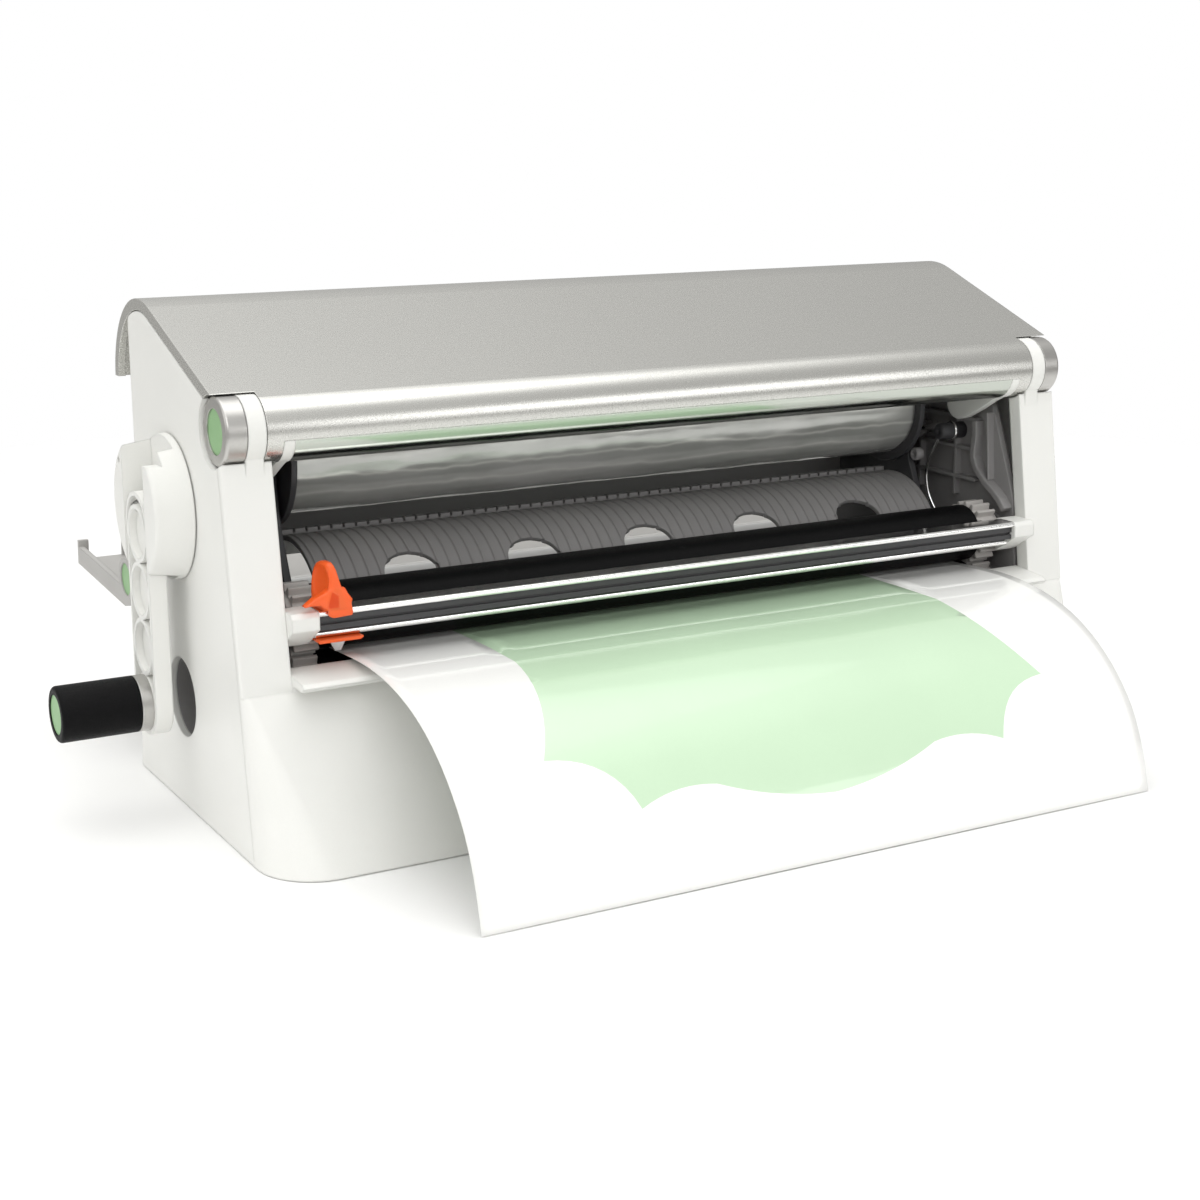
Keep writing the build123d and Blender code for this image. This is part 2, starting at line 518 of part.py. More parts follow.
def make_frames():
    right = mirror(frame_plate(), Plane.YZ)
    left = frame_plate()
    left -= rod_x(CRANK_Y, CRANK_Z, SHAFT_RADIUS + BUSH_WALL, -300, 0)
    left -= rod_x(CRANK_Y, KNOB_Z, STORE_RADIUS + STORE_WALL + 0.4, -300, 0)
    left -= rod_x(IDLER_Y, IDLER_Z, AXLE_RADIUS / 2, -300, 0)
    save("inner_frame_left", left)
    save("inner_frame_right", right)
    bushes = []
    for side in (-1, 1):
        for y, z in BEARINGS:
            ends = sorted((side * (FRAME_IN - BEARING_PROUD), side * FRAME_OUT))
            bushes.append(tube_x(y, z, JOURNAL_RADIUS + BUSH_WALL, JOURNAL_RADIUS + RUNNING_FIT, *ends))
    bushes.append(
        tube_x(CRANK_Y, CRANK_Z, SHAFT_RADIUS + BUSH_WALL, SHAFT_RADIUS + RUNNING_FIT, -FRAME_OUT, -FRAME_IN)
    )
    save("bearing_bushes", group(bushes))
    axle = rod_x(IDLER_Y, IDLER_Z, AXLE_RADIUS / 2, -TRAIN_OUT - 1, -FRAME_IN)
    save("idler_axle", axle)


# ---------------------------------------------------------------- gears
def gear_face(teeth, pitch_radius, phase, addendum, dedendum, share=0.44):
    """Straight-flanked gear; phase is the angle of one tooth's centre in degrees from +Y."""
    step = 360 / teeth
    root, tip = pitch_radius - dedendum, pitch_radius + addendum
    points = []
    for index in range(teeth):
        centre = phase + index * step
        for radius, half in ((root, 0.64 * share * step), (tip, 0.28 * share * step)):
            points.append((radius, centre - half))
        for radius, half in ((tip, 0.28 * share * step), (root, 0.64 * share * step)):
            points.append((radius, centre + half))
    return outline(*[(r * cos(radians(a)), r * sin(radians(a))) for r, a in points])


def gear_x(y, z, face, bore, x0, x1):
    wheel = Pos(0, y, z) * prism_x(face, x0, x1)
    return wheel - rod_x(y, z, bore, x0 - 1, x1 + 1)


def idler_place():
    """Idler centre: in mesh with both the crank gear and the roller's drive gear."""
    to_crank = TRAIN_MODULE * (CRANK_TEETH + IDLER_TEETH) / 2
    to_drive = TRAIN_MODULE * (DRIVE_TEETH + IDLER_TEETH) / 2
    dy, dz = ROLLER_Y - CRANK_Y, UPPER_Z - CRANK_Z
    span = hypot(dy, dz)
    along = (to_crank**2 - to_drive**2 + span**2) / (2 * span)
    off = sqrt(to_crank**2 - along**2)
    uy, uz = dy / span, dz / span
    return CRANK_Y + along * uy - off * uz, CRANK_Z + along * uz + off * uy


IDLER_Y, IDLER_Z = idler_place()


def meshing_phase(from_y, from_z, phase, teeth, to_y, to_z, to_teeth):
    """Phase of a second gear whose gap meets the first gear's tooth on the line of centres."""
    line = degrees(atan2(to_z - from_z, to_y - from_y))
    step, to_step = 360 / teeth, 360 / to_teeth
    lead = ((line - phase) / step) % 1.0
    return line + 180 + (0.5 + lead) * to_step


def make_gear_train():
    add, ded = 0.9 * TRAIN_MODULE, 1.2 * TRAIN_MODULE
    crank_phase = 0.0
    idler_phase = meshing_phase(CRANK_Y, CRANK_Z, crank_phase, CRANK_TEETH, IDLER_Y, IDLER_Z, IDLER_TEETH)
    drive_phase = meshing_phase(IDLER_Y, IDLER_Z, idler_phase, IDLER_TEETH, ROLLER_Y, UPPER_Z, DRIVE_TEETH)
    for name, y, z, teeth, phase, bore in (
        ("crank_gear", CRANK_Y, CRANK_Z, CRANK_TEETH, crank_phase, SHAFT_RADIUS),
        ("idler_gear", IDLER_Y, IDLER_Z, IDLER_TEETH, idler_phase, AXLE_RADIUS / 2 + RUNNING_FIT),
        ("roller_drive_gear", ROLLER_Y, UPPER_Z, DRIVE_TEETH, drive_phase, JOURNAL_RADIUS),
    ):
        face = gear_face(teeth, TRAIN_MODULE * teeth / 2, phase, add, ded)
        save(name, gear_x(y, z, face, bore, -TRAIN_OUT, -TRAIN_IN))


# ---------------------------------------------------------------- rollers
def make_roller(name, z, left_end, phase):
    core = rod_x(ROLLER_Y, z, CORE_RADIUS, -SLEEVE_HALF, SLEEVE_HALF)
    core += rod_x(ROLLER_Y, z, JOURNAL_RADIUS, left_end, FRAME_OUT + 0.5)
    save(f"{name}_core", core)
    save(f"{name}_sleeve", tube_x(ROLLER_Y, z, SLEEVE_RADIUS, CORE_RADIUS, -SLEEVE_HALF, SLEEVE_HALF))
    tooth_share = 0.5 - ROLLER_BACKLASH / 2 / (pi * ROLLER_CENTRES / ROLLER_TEETH)
    face = gear_face(ROLLER_TEETH, ROLLER_CENTRES / 2, phase, ROLLER_ADDENDUM, ROLLER_DEDENDUM, tooth_share)
    gears = []
    for side in (-1, 1):
        ends = sorted((side * GEAR_IN, side * GEAR_OUT))
        gear = gear_x(ROLLER_Y, z, face, JOURNAL_RADIUS, *ends)
        ends = sorted((side * GEAR_OUT, side * (GEAR_OUT + ROLLER_COLLAR)))
        gears.append(gear + tube_x(ROLLER_Y, z, ROLLER_COLLAR_RADIUS, JOURNAL_RADIUS, *ends))
    save(f"{name}_gears", group(gears))


def make_rollers():
    lower_phase = meshing_phase(ROLLER_Y, UPPER_Z, 90.0, ROLLER_TEETH, ROLLER_Y, LOWER_Z, ROLLER_TEETH)
    make_roller("upper_roller", UPPER_Z, -TRAIN_OUT - 1, 90.0)
    make_roller("lower_roller", LOWER_Z, -FRAME_OUT - 0.5, lower_phase)


# ---------------------------------------------------------------- crank
def arm_face(inset):
    half = ARM_WIDTH / 2 - inset
    top = CRANK_Z + ARM_TOP - ARM_WIDTH / 2
    shape = Pos(CRANK_Y, (top + KNOB_Z) / 2) * Rectangle(2 * half, top - KNOB_Z)
    shape += Pos(CRANK_Y, top) * Circle(half)
    shape += Pos(CRANK_Y, KNOB_Z) * Circle(half)
    return shape


def make_crank():
    hub = Pos(-HUB_BACK, CRANK_Y, CRANK_Z) * Rot(0, -90, 0) * Cone(
        HUB_RADIUS, HUB_FACE_RADIUS, HUB_THICKNESS, align=(Align.CENTER, Align.CENTER, Align.MIN)
    )
    hub = fillet(hub.edges().group_by(Axis.X)[0], 1.5)
    half = ARM_WIDTH / 2 + ARM_PLAY
    hub -= box(-300, -CHANNEL_FLOOR, CRANK_Y - half, CRANK_Y + half, 0, 200)
    hub -= box(-300, -HUB_FACE + 6, CRANK_Y - 60, CRANK_Y - half, CRANK_Z + 19, 200)
    hub -= rod_x(CRANK_Y + 17, CRANK_Z + 17, 1.2, -300, -HUB_FACE + 4)
    fold_pin = Pos(-FOLD_X, CRANK_Y, CRANK_Z) * Rot(90, 0, 0)
    pin_length = 2 * half + 12
    hub -= fold_pin * Cylinder(FOLD_PIN_RADIUS, pin_length)
    hub -= rod_x(CRANK_Y, CRANK_Z, SHAFT_RADIUS, -CHANNEL_FLOOR + 1.5, 0)
    save("crank_hub", hub)
    save("crank_shaft", rod_x(CRANK_Y, CRANK_Z, SHAFT_RADIUS, -CHANNEL_FLOOR + 1.5, -FRAME_IN))
    save("crank_fold_pin", fold_pin * Cylinder(FOLD_PIN_RADIUS, pin_length))

    arm = prism_x(arm_face(0), -ARM_FACE, -ARM_BACK)
    rings = Sketch()
    half_pitch = ARM_RING_PITCH / 2
    for index in (1, 2, 3):
        centre = Pos(CRANK_Y, KNOB_Z + index * ARM_RING_PITCH)
        rings += centre * (Circle(half_pitch + 0.2) - Circle(half_pitch - 1.6))
    rings += Pos(CRANK_Y, KNOB_Z) * Circle(half_pitch + 0.2)
    pocket = arm_face(ARM_RIM) - rings
    arm -= prism_x(pocket, -ARM_FACE - 0.1, -ARM_FACE + ARM_POCKET)
    arm -= fold_pin * Cylinder(FOLD_PIN_RADIUS + RUNNING_FIT, 60)
    arm -= rod_x(CRANK_Y, KNOB_Z, SPINDLE_RADIUS, -300, 0)
    save("crank_arm", arm)
    spindle_end = KNOB_END - 4
    save("knob_spindle", rod_x(CRANK_Y, KNOB_Z, SPINDLE_RADIUS, -spindle_end, -ARM_BACK))
    save("knob_collar", tube_x(CRANK_Y, KNOB_Z, KNOB_RADIUS, SPINDLE_RADIUS, -COLLAR_FACE, -ARM_FACE))

    grip = rod_x(CRANK_Y, KNOB_Z, KNOB_RADIUS, -KNOB_END, -KNOB_BACK)
    grip = fillet(grip.edges().group_by(Axis.X)[0], 1.5)
    grip -= rod_x(CRANK_Y, KNOB_Z, SPINDLE_RADIUS + RUNNING_FIT, -spindle_end - 0.3, 0)
    grip -= rod_x(CRANK_Y, KNOB_Z, KNOB_CAP_RADIUS, -300, -KNOB_END + 2.2)
    save("knob_grip", grip)
    cap = rod_x(CRANK_Y, KNOB_Z, KNOB_CAP_RADIUS, -KNOB_END + 0.4, -KNOB_END + 2.2)
    save("knob_cap", cap)


# ---------------------------------------------------------------- film cartridge
def make_film(name, y, z, radius):
    save(f"{name}_roll", tube_x(y, z, radius, FILM_CORE_RADIUS, -FILM_HALF, FILM_HALF))
    inner = FILM_CORE_RADIUS - FILM_CORE_WALL
    save(f"{name}_core", tube_x(y, z, FILM_CORE_RADIUS, inner, -FILM_HALF, FILM_HALF))
    flange_radius = FLANGE_RADIUS + radius - FILM_RADIUS
    flange = rod_x(y, z, flange_radius, -FLANGE_OUT, -FILM_HALF)
    flange += rod_x(y, z, inner, -FILM_HALF, -FILM_HALF + 12)
    flange -= rod_x(y, z, AXLE_RADIUS + RUNNING_FIT, -300, 0)
    save(f"{name}_flanges", both(flange))


def make_cartridge():
    make_film("upper_film", FILM_Y, FILM_Z, FILM_RADIUS)
    make_film("lower_film", LOWER_FILM_Y, LOWER_FILM_Z, LOWER_FILM_RADIUS)
    end_face = outline(
        (-6, 74), (-4, 86), (8, 112), (14, 150), (36, 150), (60, 118), (66, 84), (60, 22), (30, 22), (26, 60)
    )
    end = prism_x(end_face, -CARTRIDGE_OUT, -CARTRIDGE_IN)
    bores = ((FILM_Y, FILM_Z), (LOWER_FILM_Y, LOWER_FILM_Z))
    for y, z in bores:
        end -= rod_x(y, z, AXLE_RADIUS, -300, 0)
    save("cartridge_end_left", end)
    save("cartridge_end_right", mirror(end, Plane.YZ))
    axles = [rod_x(y, z, AXLE_RADIUS, -CARTRIDGE_OUT, CARTRIDGE_OUT) for y, z in bores]
    save("film_axles", group(axles))
    pin = rod_x(LOCK_PIN_Y, LOCK_PIN_Z, LOCK_PIN_RADIUS, -FRAME_IN, -CARTRIDGE_OUT)
    pin += rod_x(LOCK_PIN_Y, LOCK_PIN_Z, LOCK_PIN_RADIUS + 1.4, -CARTRIDGE_OUT - 9, -CARTRIDGE_OUT - 6)
    save("cartridge_pins", both(pin))


# ---------------------------------------------------------------- guide, comb, platen
def make_guide():
    def at(radius, angle):
        return GUIDE_Y + radius * cos(radians(angle)), GUIDE_TOP_Z - GUIDE_RADIUS + radius * sin(radians(angle))

    start, end = GUIDE_FROM, GUIDE_TO
    middle = (start + end) / 2
    outer, inner = GUIDE_RADIUS, GUIDE_RADIUS - GUIDE_WALL
    edges = ThreePointArc(at(outer, start), at(outer, middle), at(outer, end))
    edges += Line(at(outer, end), at(inner, end))
    edges += ThreePointArc(at(inner, end), at(inner, middle), at(inner, start))
    edges += Line(at(inner, start), at(outer, start))
    guide = prism_x(make_face(edges), -GUIDE_HALF, GUIDE_HALF)
    low_y, low_z = at(outer, end)
    for index in range(NOTCH_COUNT):
        x = (index - (NOTCH_COUNT - 1) / 2) * NOTCH_PITCH
        guide -= Pos(x, low_y, low_z) * Cylinder(NOTCH_RADIUS, 60)
    save("paper_guide", guide)

    comb = box(-GUIDE_HALF, GUIDE_HALF, COMB_Y, COMB_Y + COMB_DEPTH, GUIDE_TOP_Z - COMB_LOW, GUIDE_TOP_Z + COMB_HIGH)
    pitch = 2 * GUIDE_HALF / COMB_TEETH
    slits = []
    for index in range(1, COMB_TEETH):
        x = -GUIDE_HALF + index * pitch
        half = COMB_SLIT / 2
        slit_z = GUIDE_TOP_Z + COMB_HIGH - 1.5
        slits.append(box(x - half, x + half, COMB_Y - 1, COMB_Y + COMB_DEPTH + 1, slit_z, GUIDE_TOP_Z + 9))
    save("comb_bar", comb - slits)

    half = CARTRIDGE_IN - GAP
    top = NIP_Z - PLATEN_DROP
    save("feed_platen", box(-half, half, PLATEN_FRONT_Y, PLATEN_REAR_Y, top - PLATEN_WALL, top))


# the wing's lower edge, measured from the lid's axis in barrel radii
WING_EDGE = [(0.085, -1.108), (0.785, -1.515), (1.308, -1.785), (1.908, -1.985), (2.292, -1.831), (2.477, -1.315)]


def make_trim():
    """Glossy strip let into the lid's barrel, and its white ends that sweep down inside."""
    save("lid_trim_strip", prism_x(trim_section(BARREL_RADIUS), -TRIM_HALF, TRIM_HALF))
    leave, meet = on_barrel(BARREL_RADIUS, 238), on_barrel(BARREL_RADIUS - 1, 335)
    inside = on_barrel(BARREL_RADIUS - 1, 262)
    sweep = [(LID_AXIS_Y + BARREL_RADIUS * y, LID_AXIS_Z + BARREL_RADIUS * z) for y, z in WING_EDGE]
    edges = Spline(leave, *sweep) + Polyline(sweep[-1], meet, inside, leave)
    wing = make_face(edges) - Pos(LID_AXIS_Y, LID_AXIS_Z) * Circle(BARREL_RADIUS)
    save("lid_trim_ends", both(prism_x(wing + trim_section(BARREL_RADIUS), -TRIM_END, -TRIM_HALF)))


# ---------------------------------------------------------------- cutter
def make_cutter_rail():
    rail = box(-RAIL_HALF, RAIL_HALF, RAIL_BACK_Y - RAIL_DEPTH, RAIL_BACK_Y, RAIL_Z0, RAIL_Z1)
    groove = 1.2
    middle = (RAIL_Z0 + RAIL_Z1) / 2
    front = RAIL_BACK_Y - RAIL_DEPTH
    rail -= box(-300, 300, front - 1, front + groove, middle - 0.6, middle + 0.6)
    save("cutter_rail", rail)
    strip = box(-RAIL_HALF, RAIL_HALF, STRIP_FRONT_Y, STRIP_BACK_Y, STRIP_Z0, STRIP_Z1)
    strip = fillet(strip.edges().filter_by(Axis.X).group_by(Axis.Y)[0], 1.0)
    save("cutter_rail_strip", strip)
    save("cutter_rod", rod_x(ROD_Y, ROD_Z, ROD_RADIUS, -RAIL_HALF, RAIL_HALF))
    gear_clear = ROLLER_Y - ROLLER_CENTRES / 2 - ROLLER_ADDENDUM - 0.7
    face = outline(
        (gear_clear, STRIP_Z1 - 0.2), (STRIP_FRONT_Y + 1, STRIP_Z1 - 0.2), (STRIP_FRONT_Y - 0.6, STRIP_Z1 - 2),
        (STRIP_FRONT_Y - 0.6, RAIL_Z0 + 1), (gear_clear, CUTTER_FOOT_Z - 2)
    )
    save("rail_brackets", both(prism_x(face, -POST_IN, -RAIL_HALF)))


def make_cutter():
    play = CUTTER_PLAY
    back = ROLLER_Y - ROLLER_CENTRES / 2 - ROLLER_ADDENDUM - 1.2
    front = STRIP_FRONT_Y - 2.2
    x0, x1 = CUTTER_X - 6.5, CUTTER_X + 6.5
    foot_top = ROD_Z - ROD_RADIUS - play
    front_face = Polygon(
        (x1, STRIP_Z0 - 1), (x1 + 0.4, STRIP_Z1 + 1.4), (x1 - 2, STRIP_Z1 + 5), (x1 - 5.2, CUTTER_TOP_Z - 1.5),
        (x1 - 6.4, CUTTER_TOP_Z), (x0 + 3, CUTTER_TOP_Z), (x0 + 0.6, CUTTER_TOP_Z - 3), (x0, CUTTER_TOP_Z - 8),
        (x0 + 0.6, STRIP_Z1 + 4), (x0 - 5.4, STRIP_Z1 + 1.2), (x0 - 5.4, STRIP_Z1 + play),
        (x0, STRIP_Z1 + play), (x0, STRIP_Z0 - 1), align=None
    )
    body = extrude(Plane.XZ.offset(-back) * front_face, amount=back - front)
    body = chamfer(body.edges().filter_by(lambda e: e.center().Y < front + 0.01 and e.center().Z > STRIP_Z1 + 3), 1.6)
    body -= box(-300, 300, STRIP_FRONT_Y - play, back + 5, 0, STRIP_Z1 + play)
    web_face = STRIP_BACK_Y + play
    body += box(x0, x1, web_face, back, CUTTER_FOOT_Z, STRIP_Z1 + 3)
    foot_front = RAIL_BACK_Y - RAIL_DEPTH + 0.5
    body += box(x0 - 2.5, x1 + 1.0, foot_front, back, CUTTER_FOOT_Z, foot_top)
    save("cutter_slide", body)
    blade_y = web_face + 0.4
    blade_top = CUTTER_FOOT_Z
    blade_face = Polygon(
        (CUTTER_X - 4, blade_top), (CUTTER_X + 4, blade_top), (CUTTER_X + 1.2, blade_top - 5.5),
        (CUTTER_X - 1.2, blade_top - 5.5), align=None
    )
    save("cutter_blade", extrude(Plane.XZ.offset(-blade_y) * blade_face, amount=0.6))


# ---------------------------------------------------------------- feed tray
def make_tray():
    boss_in = KNUCKLE_OUT
    tilt = Pos(0, TRAY_Y, TRAY_Z) * Rot(TRAY_TILT, 0, 0)
    half = RING_OUT
    under = -TRAY_DROP
    rail_face = outline((-6, under + 2.4), (2, under), (TRAY_LENGTH, under), (TRAY_LENGTH, under + TRAY_RAIL),
                        (8, under + TRAY_RAIL), (6, 4), (-6, 4))
    rail = prism_x(rail_face, -half, -half + TRAY_RAIL_WIDTH)
    boss = rod_x(0, 0, TRAY_BOSS_RADIUS, -half, -boss_in)
    tray = box(-half, half, 3.6, TRAY_LENGTH, under, under + TRAY_FLOOR)
    tray += box(-half, half, TRAY_LENGTH - TRAY_FLOOR, TRAY_LENGTH, under, under + TRAY_LIP)
    for side in (-1, 1):
        ends = sorted((side * (half - TRAY_NOTCH[0]), side * (half - TRAY_NOTCH[1])))
        tray -= box(*ends, TRAY_LENGTH - 10, TRAY_LENGTH + 1, under + TRAY_FLOOR, under + 30)
    tray += rail + boss
    tray += mirror(rail + boss, Plane.YZ)
    bore = rod_x(0, 0, PIN_RADIUS, -300, 300)
    tray -= bore
    cap_face = half - CAP_SINK
    cap = rod_x(0, 0, TRAY_CAP_RADIUS, -cap_face, -cap_face + CAP_DEPTH)
    for seat in (cap, mirror(cap, Plane.YZ)):
        tray -= seat
    tray -= rod_x(0, 0, TRAY_CAP_RADIUS, -half - 1, -cap_face)
    tray -= rod_x(0, 0, TRAY_CAP_RADIUS, cap_face, half + 1)
    save("feed_tray", tilt * tray)
    save("tray_end_caps", both(tilt * cap))
    pin = rod_x(0, 0, PIN_RADIUS, -cap_face + CAP_DEPTH, -KNUCKLE_IN)
    save("tray_pins", both(tilt * pin))


# ---------------------------------------------------------------- laminated sheet
SHEET_CURL = [(-64, 72.6), (-86, 71.0), (-109, 65.0), (-126, 56.0), (-140, 44.0), (-150, 31.0), (-157, 15.0),
              (-161, 0.2)]


def make_sheet():
    """Sheet in the nip: flat through the machine, then curling down to the table in front."""
    flat = [(SHEET_TAIL_Y, NIP_Z + 1.2), (0, NIP_Z), (ROLLER_Y, NIP_Z), (-46, NIP_Z + 1.0)]
    centre = Spline(*(flat + SHEET_CURL))
    steps = 24
    half = SHEET_THICKNESS / 2
    over, under = [], []
    for index in range(steps + 1):
        point = centre @ (index / steps)
        run = centre % (index / steps)
        over.append((point.X + half * run.Y, point.Y - half * run.X))
        under.append((point.X - half * run.Y, point.Y + half * run.X))
    edges = Spline(*over) + Line(over[-1], under[-1]) + Spline(*reversed(under)) + Line(under[0], over[0])
    sheet = prism_x(make_face(edges), -FILM_HALF, FILM_HALF)
    print("sheet length along its curve", round(centre.length, 1))
    low = sheet.bounding_box().min.Z
    print("sheet lowest point", round(low, 3))
    save("laminated_sheet", sheet)


os.makedirs("parts", exist_ok=True)
make_lid()
make_side_and_rear()
make_front_cover()
make_base()
make_frames()
make_gear_train()
make_rollers()
make_crank()
make_cartridge()
make_guide()
make_trim()
make_cutter_rail()
make_cutter()
make_tray()
make_sheet()
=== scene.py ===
"""Looks of a hand-cranked cold laminator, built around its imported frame. Everything is in metres."""

import math

import bmesh
import bpy
import numpy as np
from bpy.props import FloatProperty, FloatVectorProperty, IntProperty, PointerProperty
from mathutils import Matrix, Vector, geometry, noise


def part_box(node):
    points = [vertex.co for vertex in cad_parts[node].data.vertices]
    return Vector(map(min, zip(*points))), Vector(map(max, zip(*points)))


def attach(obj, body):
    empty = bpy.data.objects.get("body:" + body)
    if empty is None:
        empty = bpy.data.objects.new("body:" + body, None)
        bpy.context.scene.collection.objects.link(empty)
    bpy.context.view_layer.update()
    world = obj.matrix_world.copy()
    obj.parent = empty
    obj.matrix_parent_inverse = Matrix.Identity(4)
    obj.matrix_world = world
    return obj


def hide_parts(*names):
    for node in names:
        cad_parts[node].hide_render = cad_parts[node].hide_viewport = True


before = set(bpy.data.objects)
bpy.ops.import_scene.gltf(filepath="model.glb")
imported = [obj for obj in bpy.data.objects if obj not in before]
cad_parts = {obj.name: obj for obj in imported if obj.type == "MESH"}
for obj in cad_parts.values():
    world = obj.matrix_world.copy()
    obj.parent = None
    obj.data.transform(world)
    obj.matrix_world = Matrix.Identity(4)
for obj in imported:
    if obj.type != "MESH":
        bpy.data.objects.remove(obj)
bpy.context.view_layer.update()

bl_info = {
    "name": "Cold Laminator Looks",
    "version": (1, 0, 0),
    "blender": (4, 5, 0),
    "location": "View3D > Sidebar > Laminator",
    "description": "Finishes, moulded trim, film, sheet and studio for a hand-cranked cold laminator",
    "category": "Object",
}

MM = 0.001
SLOT_OF_NODE = {name: node.data.materials[0].name for name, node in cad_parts.items()}

SHEET_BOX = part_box("laminated_sheet")
FILM_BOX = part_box("upper_film_roll")
GUIDE_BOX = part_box("paper_guide")
SLIDE_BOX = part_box("cutter_slide")
STRIP_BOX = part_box("cutter_rail_strip")


# ---------------------------------------------------------------- settings
def colour_setting(name, description, default):
    return FloatVectorProperty(
        name=name, description=description, subtype="COLOR", size=3, min=0.0, max=1.0, default=default
    )


def length_setting(name, description, default):
    return FloatProperty(name=name, description=description, unit="LENGTH", min=0.0, default=default)


class LaminatorColours(bpy.types.PropertyGroup):
    """Base colours of the finishes"""

    shell: colour_setting("Shell", "White moulded covers and crank", (0.84, 0.84, 0.81))
    lid: colour_setting("Lid", "Silver painted lid", (0.66, 0.655, 0.625))
    ring: colour_setting("End rings", "Turned metal of the lid's end rings", (0.55, 0.54, 0.52))
    cap: colour_setting("Caps", "Green end caps", (0.27, 0.48, 0.23))
    grip: colour_setting("Grip", "Black knob and rollers", (0.0015, 0.0015, 0.002))
    gear: colour_setting("Gears", "Moulded roller gears", (0.50, 0.48, 0.46))
    inside: colour_setting("Inside", "Grey frames and guide", (0.27, 0.262, 0.262))
    dark: colour_setting("Dark parts", "Flanges and cartridge ends", (0.05, 0.05, 0.054))
    tray: colour_setting("Tray", "Feed tray", (0.44, 0.43, 0.415))
    cutter: colour_setting("Cutter", "Orange slide", (0.95, 0.13, 0.02))
    paper: colour_setting("Paper", "Unprinted sheet", (0.96, 0.96, 0.94))
    print: colour_setting("Print", "Printed panel on the sheet", (0.58, 0.77, 0.55))
    film: colour_setting("Film", "Clear film wound on its core", (0.62, 0.62, 0.60))


class LaminatorDetails(bpy.types.PropertyGroup):
    """Sizes of the moulded detail"""

    edge_round: length_setting("Edge round", "Radius of the softened moulded edges", 0.9 * MM)
    rib_pitch: length_setting("Rib pitch", "Distance between the guide's ribs", 5.0 * MM)
    rib_width: length_setting("Rib width", "Width of one guide rib", 0.9 * MM)
    rib_height: length_setting("Rib height", "Height of one guide rib above the guide", 0.55 * MM)
    ripple: length_setting("Film ripple", "Depth of the waves in the wound film", 0.7 * MM)
    sheet_step: length_setting("Sheet step", "Distance between points of the sheet's mesh", 5.0 * MM)
    print_half: length_setting("Print half width", "Half the width of the printed panel", 100.0 * MM)
    print_tail: length_setting("Print start", "Tail of the sheet to the printed panel", 25.0 * MM)
    film_turns: IntProperty(
        name="Film points", description="Points round the wound film", min=32, default=160
    )


class LaminatorStudio(bpy.types.PropertyGroup):
    """Camera and lights"""

    eye: FloatVectorProperty(
        name="Eye", description="Place of the camera", subtype="TRANSLATION", unit="LENGTH", size=3,
        default=(-0.43145, -0.73530, 0.27457),
    )
    heading: FloatProperty(
        name="Heading", description="Turn of the view from the machine's front", subtype="ANGLE",
        default=math.radians(29.513),
    )
    dip: FloatProperty(
        name="Dip", description="Downward tilt of the view", subtype="ANGLE", default=math.radians(13.826)
    )
    lens: FloatProperty(name="Lens", description="Focal length in millimetres", min=1.0, default=60.59)
    key: FloatProperty(
        name="Key light", description="Power of the main soft light", unit="POWER", default=5.0
    )
    top: FloatProperty(name="Top light", description="Power of the light overhead", unit="POWER", default=2.5)
    side: FloatProperty(name="Side light", description="Power of the light at the crank's side", unit="POWER",
                        default=1.5)
    fill: FloatProperty(name="Fill light", description="Power of the light at the front right", unit="POWER",
                        default=2.6)
    sky: FloatProperty(
        name="Surround", description="Strength of the pale surroundings", min=0.0, default=0.95
    )


# ---------------------------------------------------------------- node graphs
class Graph:
    """Adds nodes to one tree and links the sockets that are passed to them."""

    def __init__(self, tree):
        self.tree = tree
        tree.nodes.clear()

    def add(self, kind, inputs=None, **settings):
        node = self.tree.nodes.new(kind)
        for name, value in settings.items():
            setattr(node, name, value)
        for key, value in (inputs or {}).items():
            if isinstance(value, bpy.types.NodeSocket):
                self.tree.links.new(value, node.inputs[key])
            else:
                node.inputs[key].default_value = value
        return node

    def maths(self, operation, first, second=0.0, clamp=False):
        node = self.add("ShaderNodeMath", {0: first, 1: second}, operation=operation, use_clamp=clamp)
        return node.outputs[0]

    def remap(self, value, low, high, new_low, new_high):
        ends = {"Value": value, "From Min": low, "From Max": high, "To Min": new_low, "To Max": new_high}
        return self.add("ShaderNodeMapRange", ends).outputs[0]

    def blend(self, mask, first, second):
        return self.add("ShaderNodeMix", {0: mask, 6: first, 7: second}, data_type="RGBA").outputs[2]


FLOAT, VECTOR = "NodeSocketFloat", "NodeSocketVector"


def new_group(name, inputs, outputs):
    """A shader node group with float inputs; returns its tree, graph, input node and output node."""
    tree = bpy.data.node_groups.new(name, "ShaderNodeTree")
    graph = Graph(tree)
    for label, default in inputs.items():
        made = tree.interface.new_socket(name=label, in_out="INPUT", socket_type=FLOAT)
        made.default_value = default
    for label, kind in outputs.items():
        tree.interface.new_socket(name=label, in_out="OUTPUT", socket_type=kind)
    return tree, graph, graph.add("NodeGroupInput").outputs, graph.add("NodeGroupOutput").inputs


def grain_group():
    """Uneven mask from noise: fine for moulded texture, coarse for cloudy colour."""
    tree, graph, given, out = new_group(
        "Moulded Grain", {"Scale": 800.0, "Detail": 3.0, "Low": 0.35, "High": 0.65}, {"Mask": FLOAT}
    )
    place = graph.add("ShaderNodeTexCoord").outputs["Object"]
    noise_inputs = {"Vector": place, "Scale": given["Scale"], "Detail": given["Detail"]}
    spots = graph.add("ShaderNodeTexNoise", noise_inputs)
    mask = graph.remap(spots.outputs[0], given["Low"], given["High"], 0.0, 1.0)
    tree.links.new(mask, out["Mask"])
    return tree


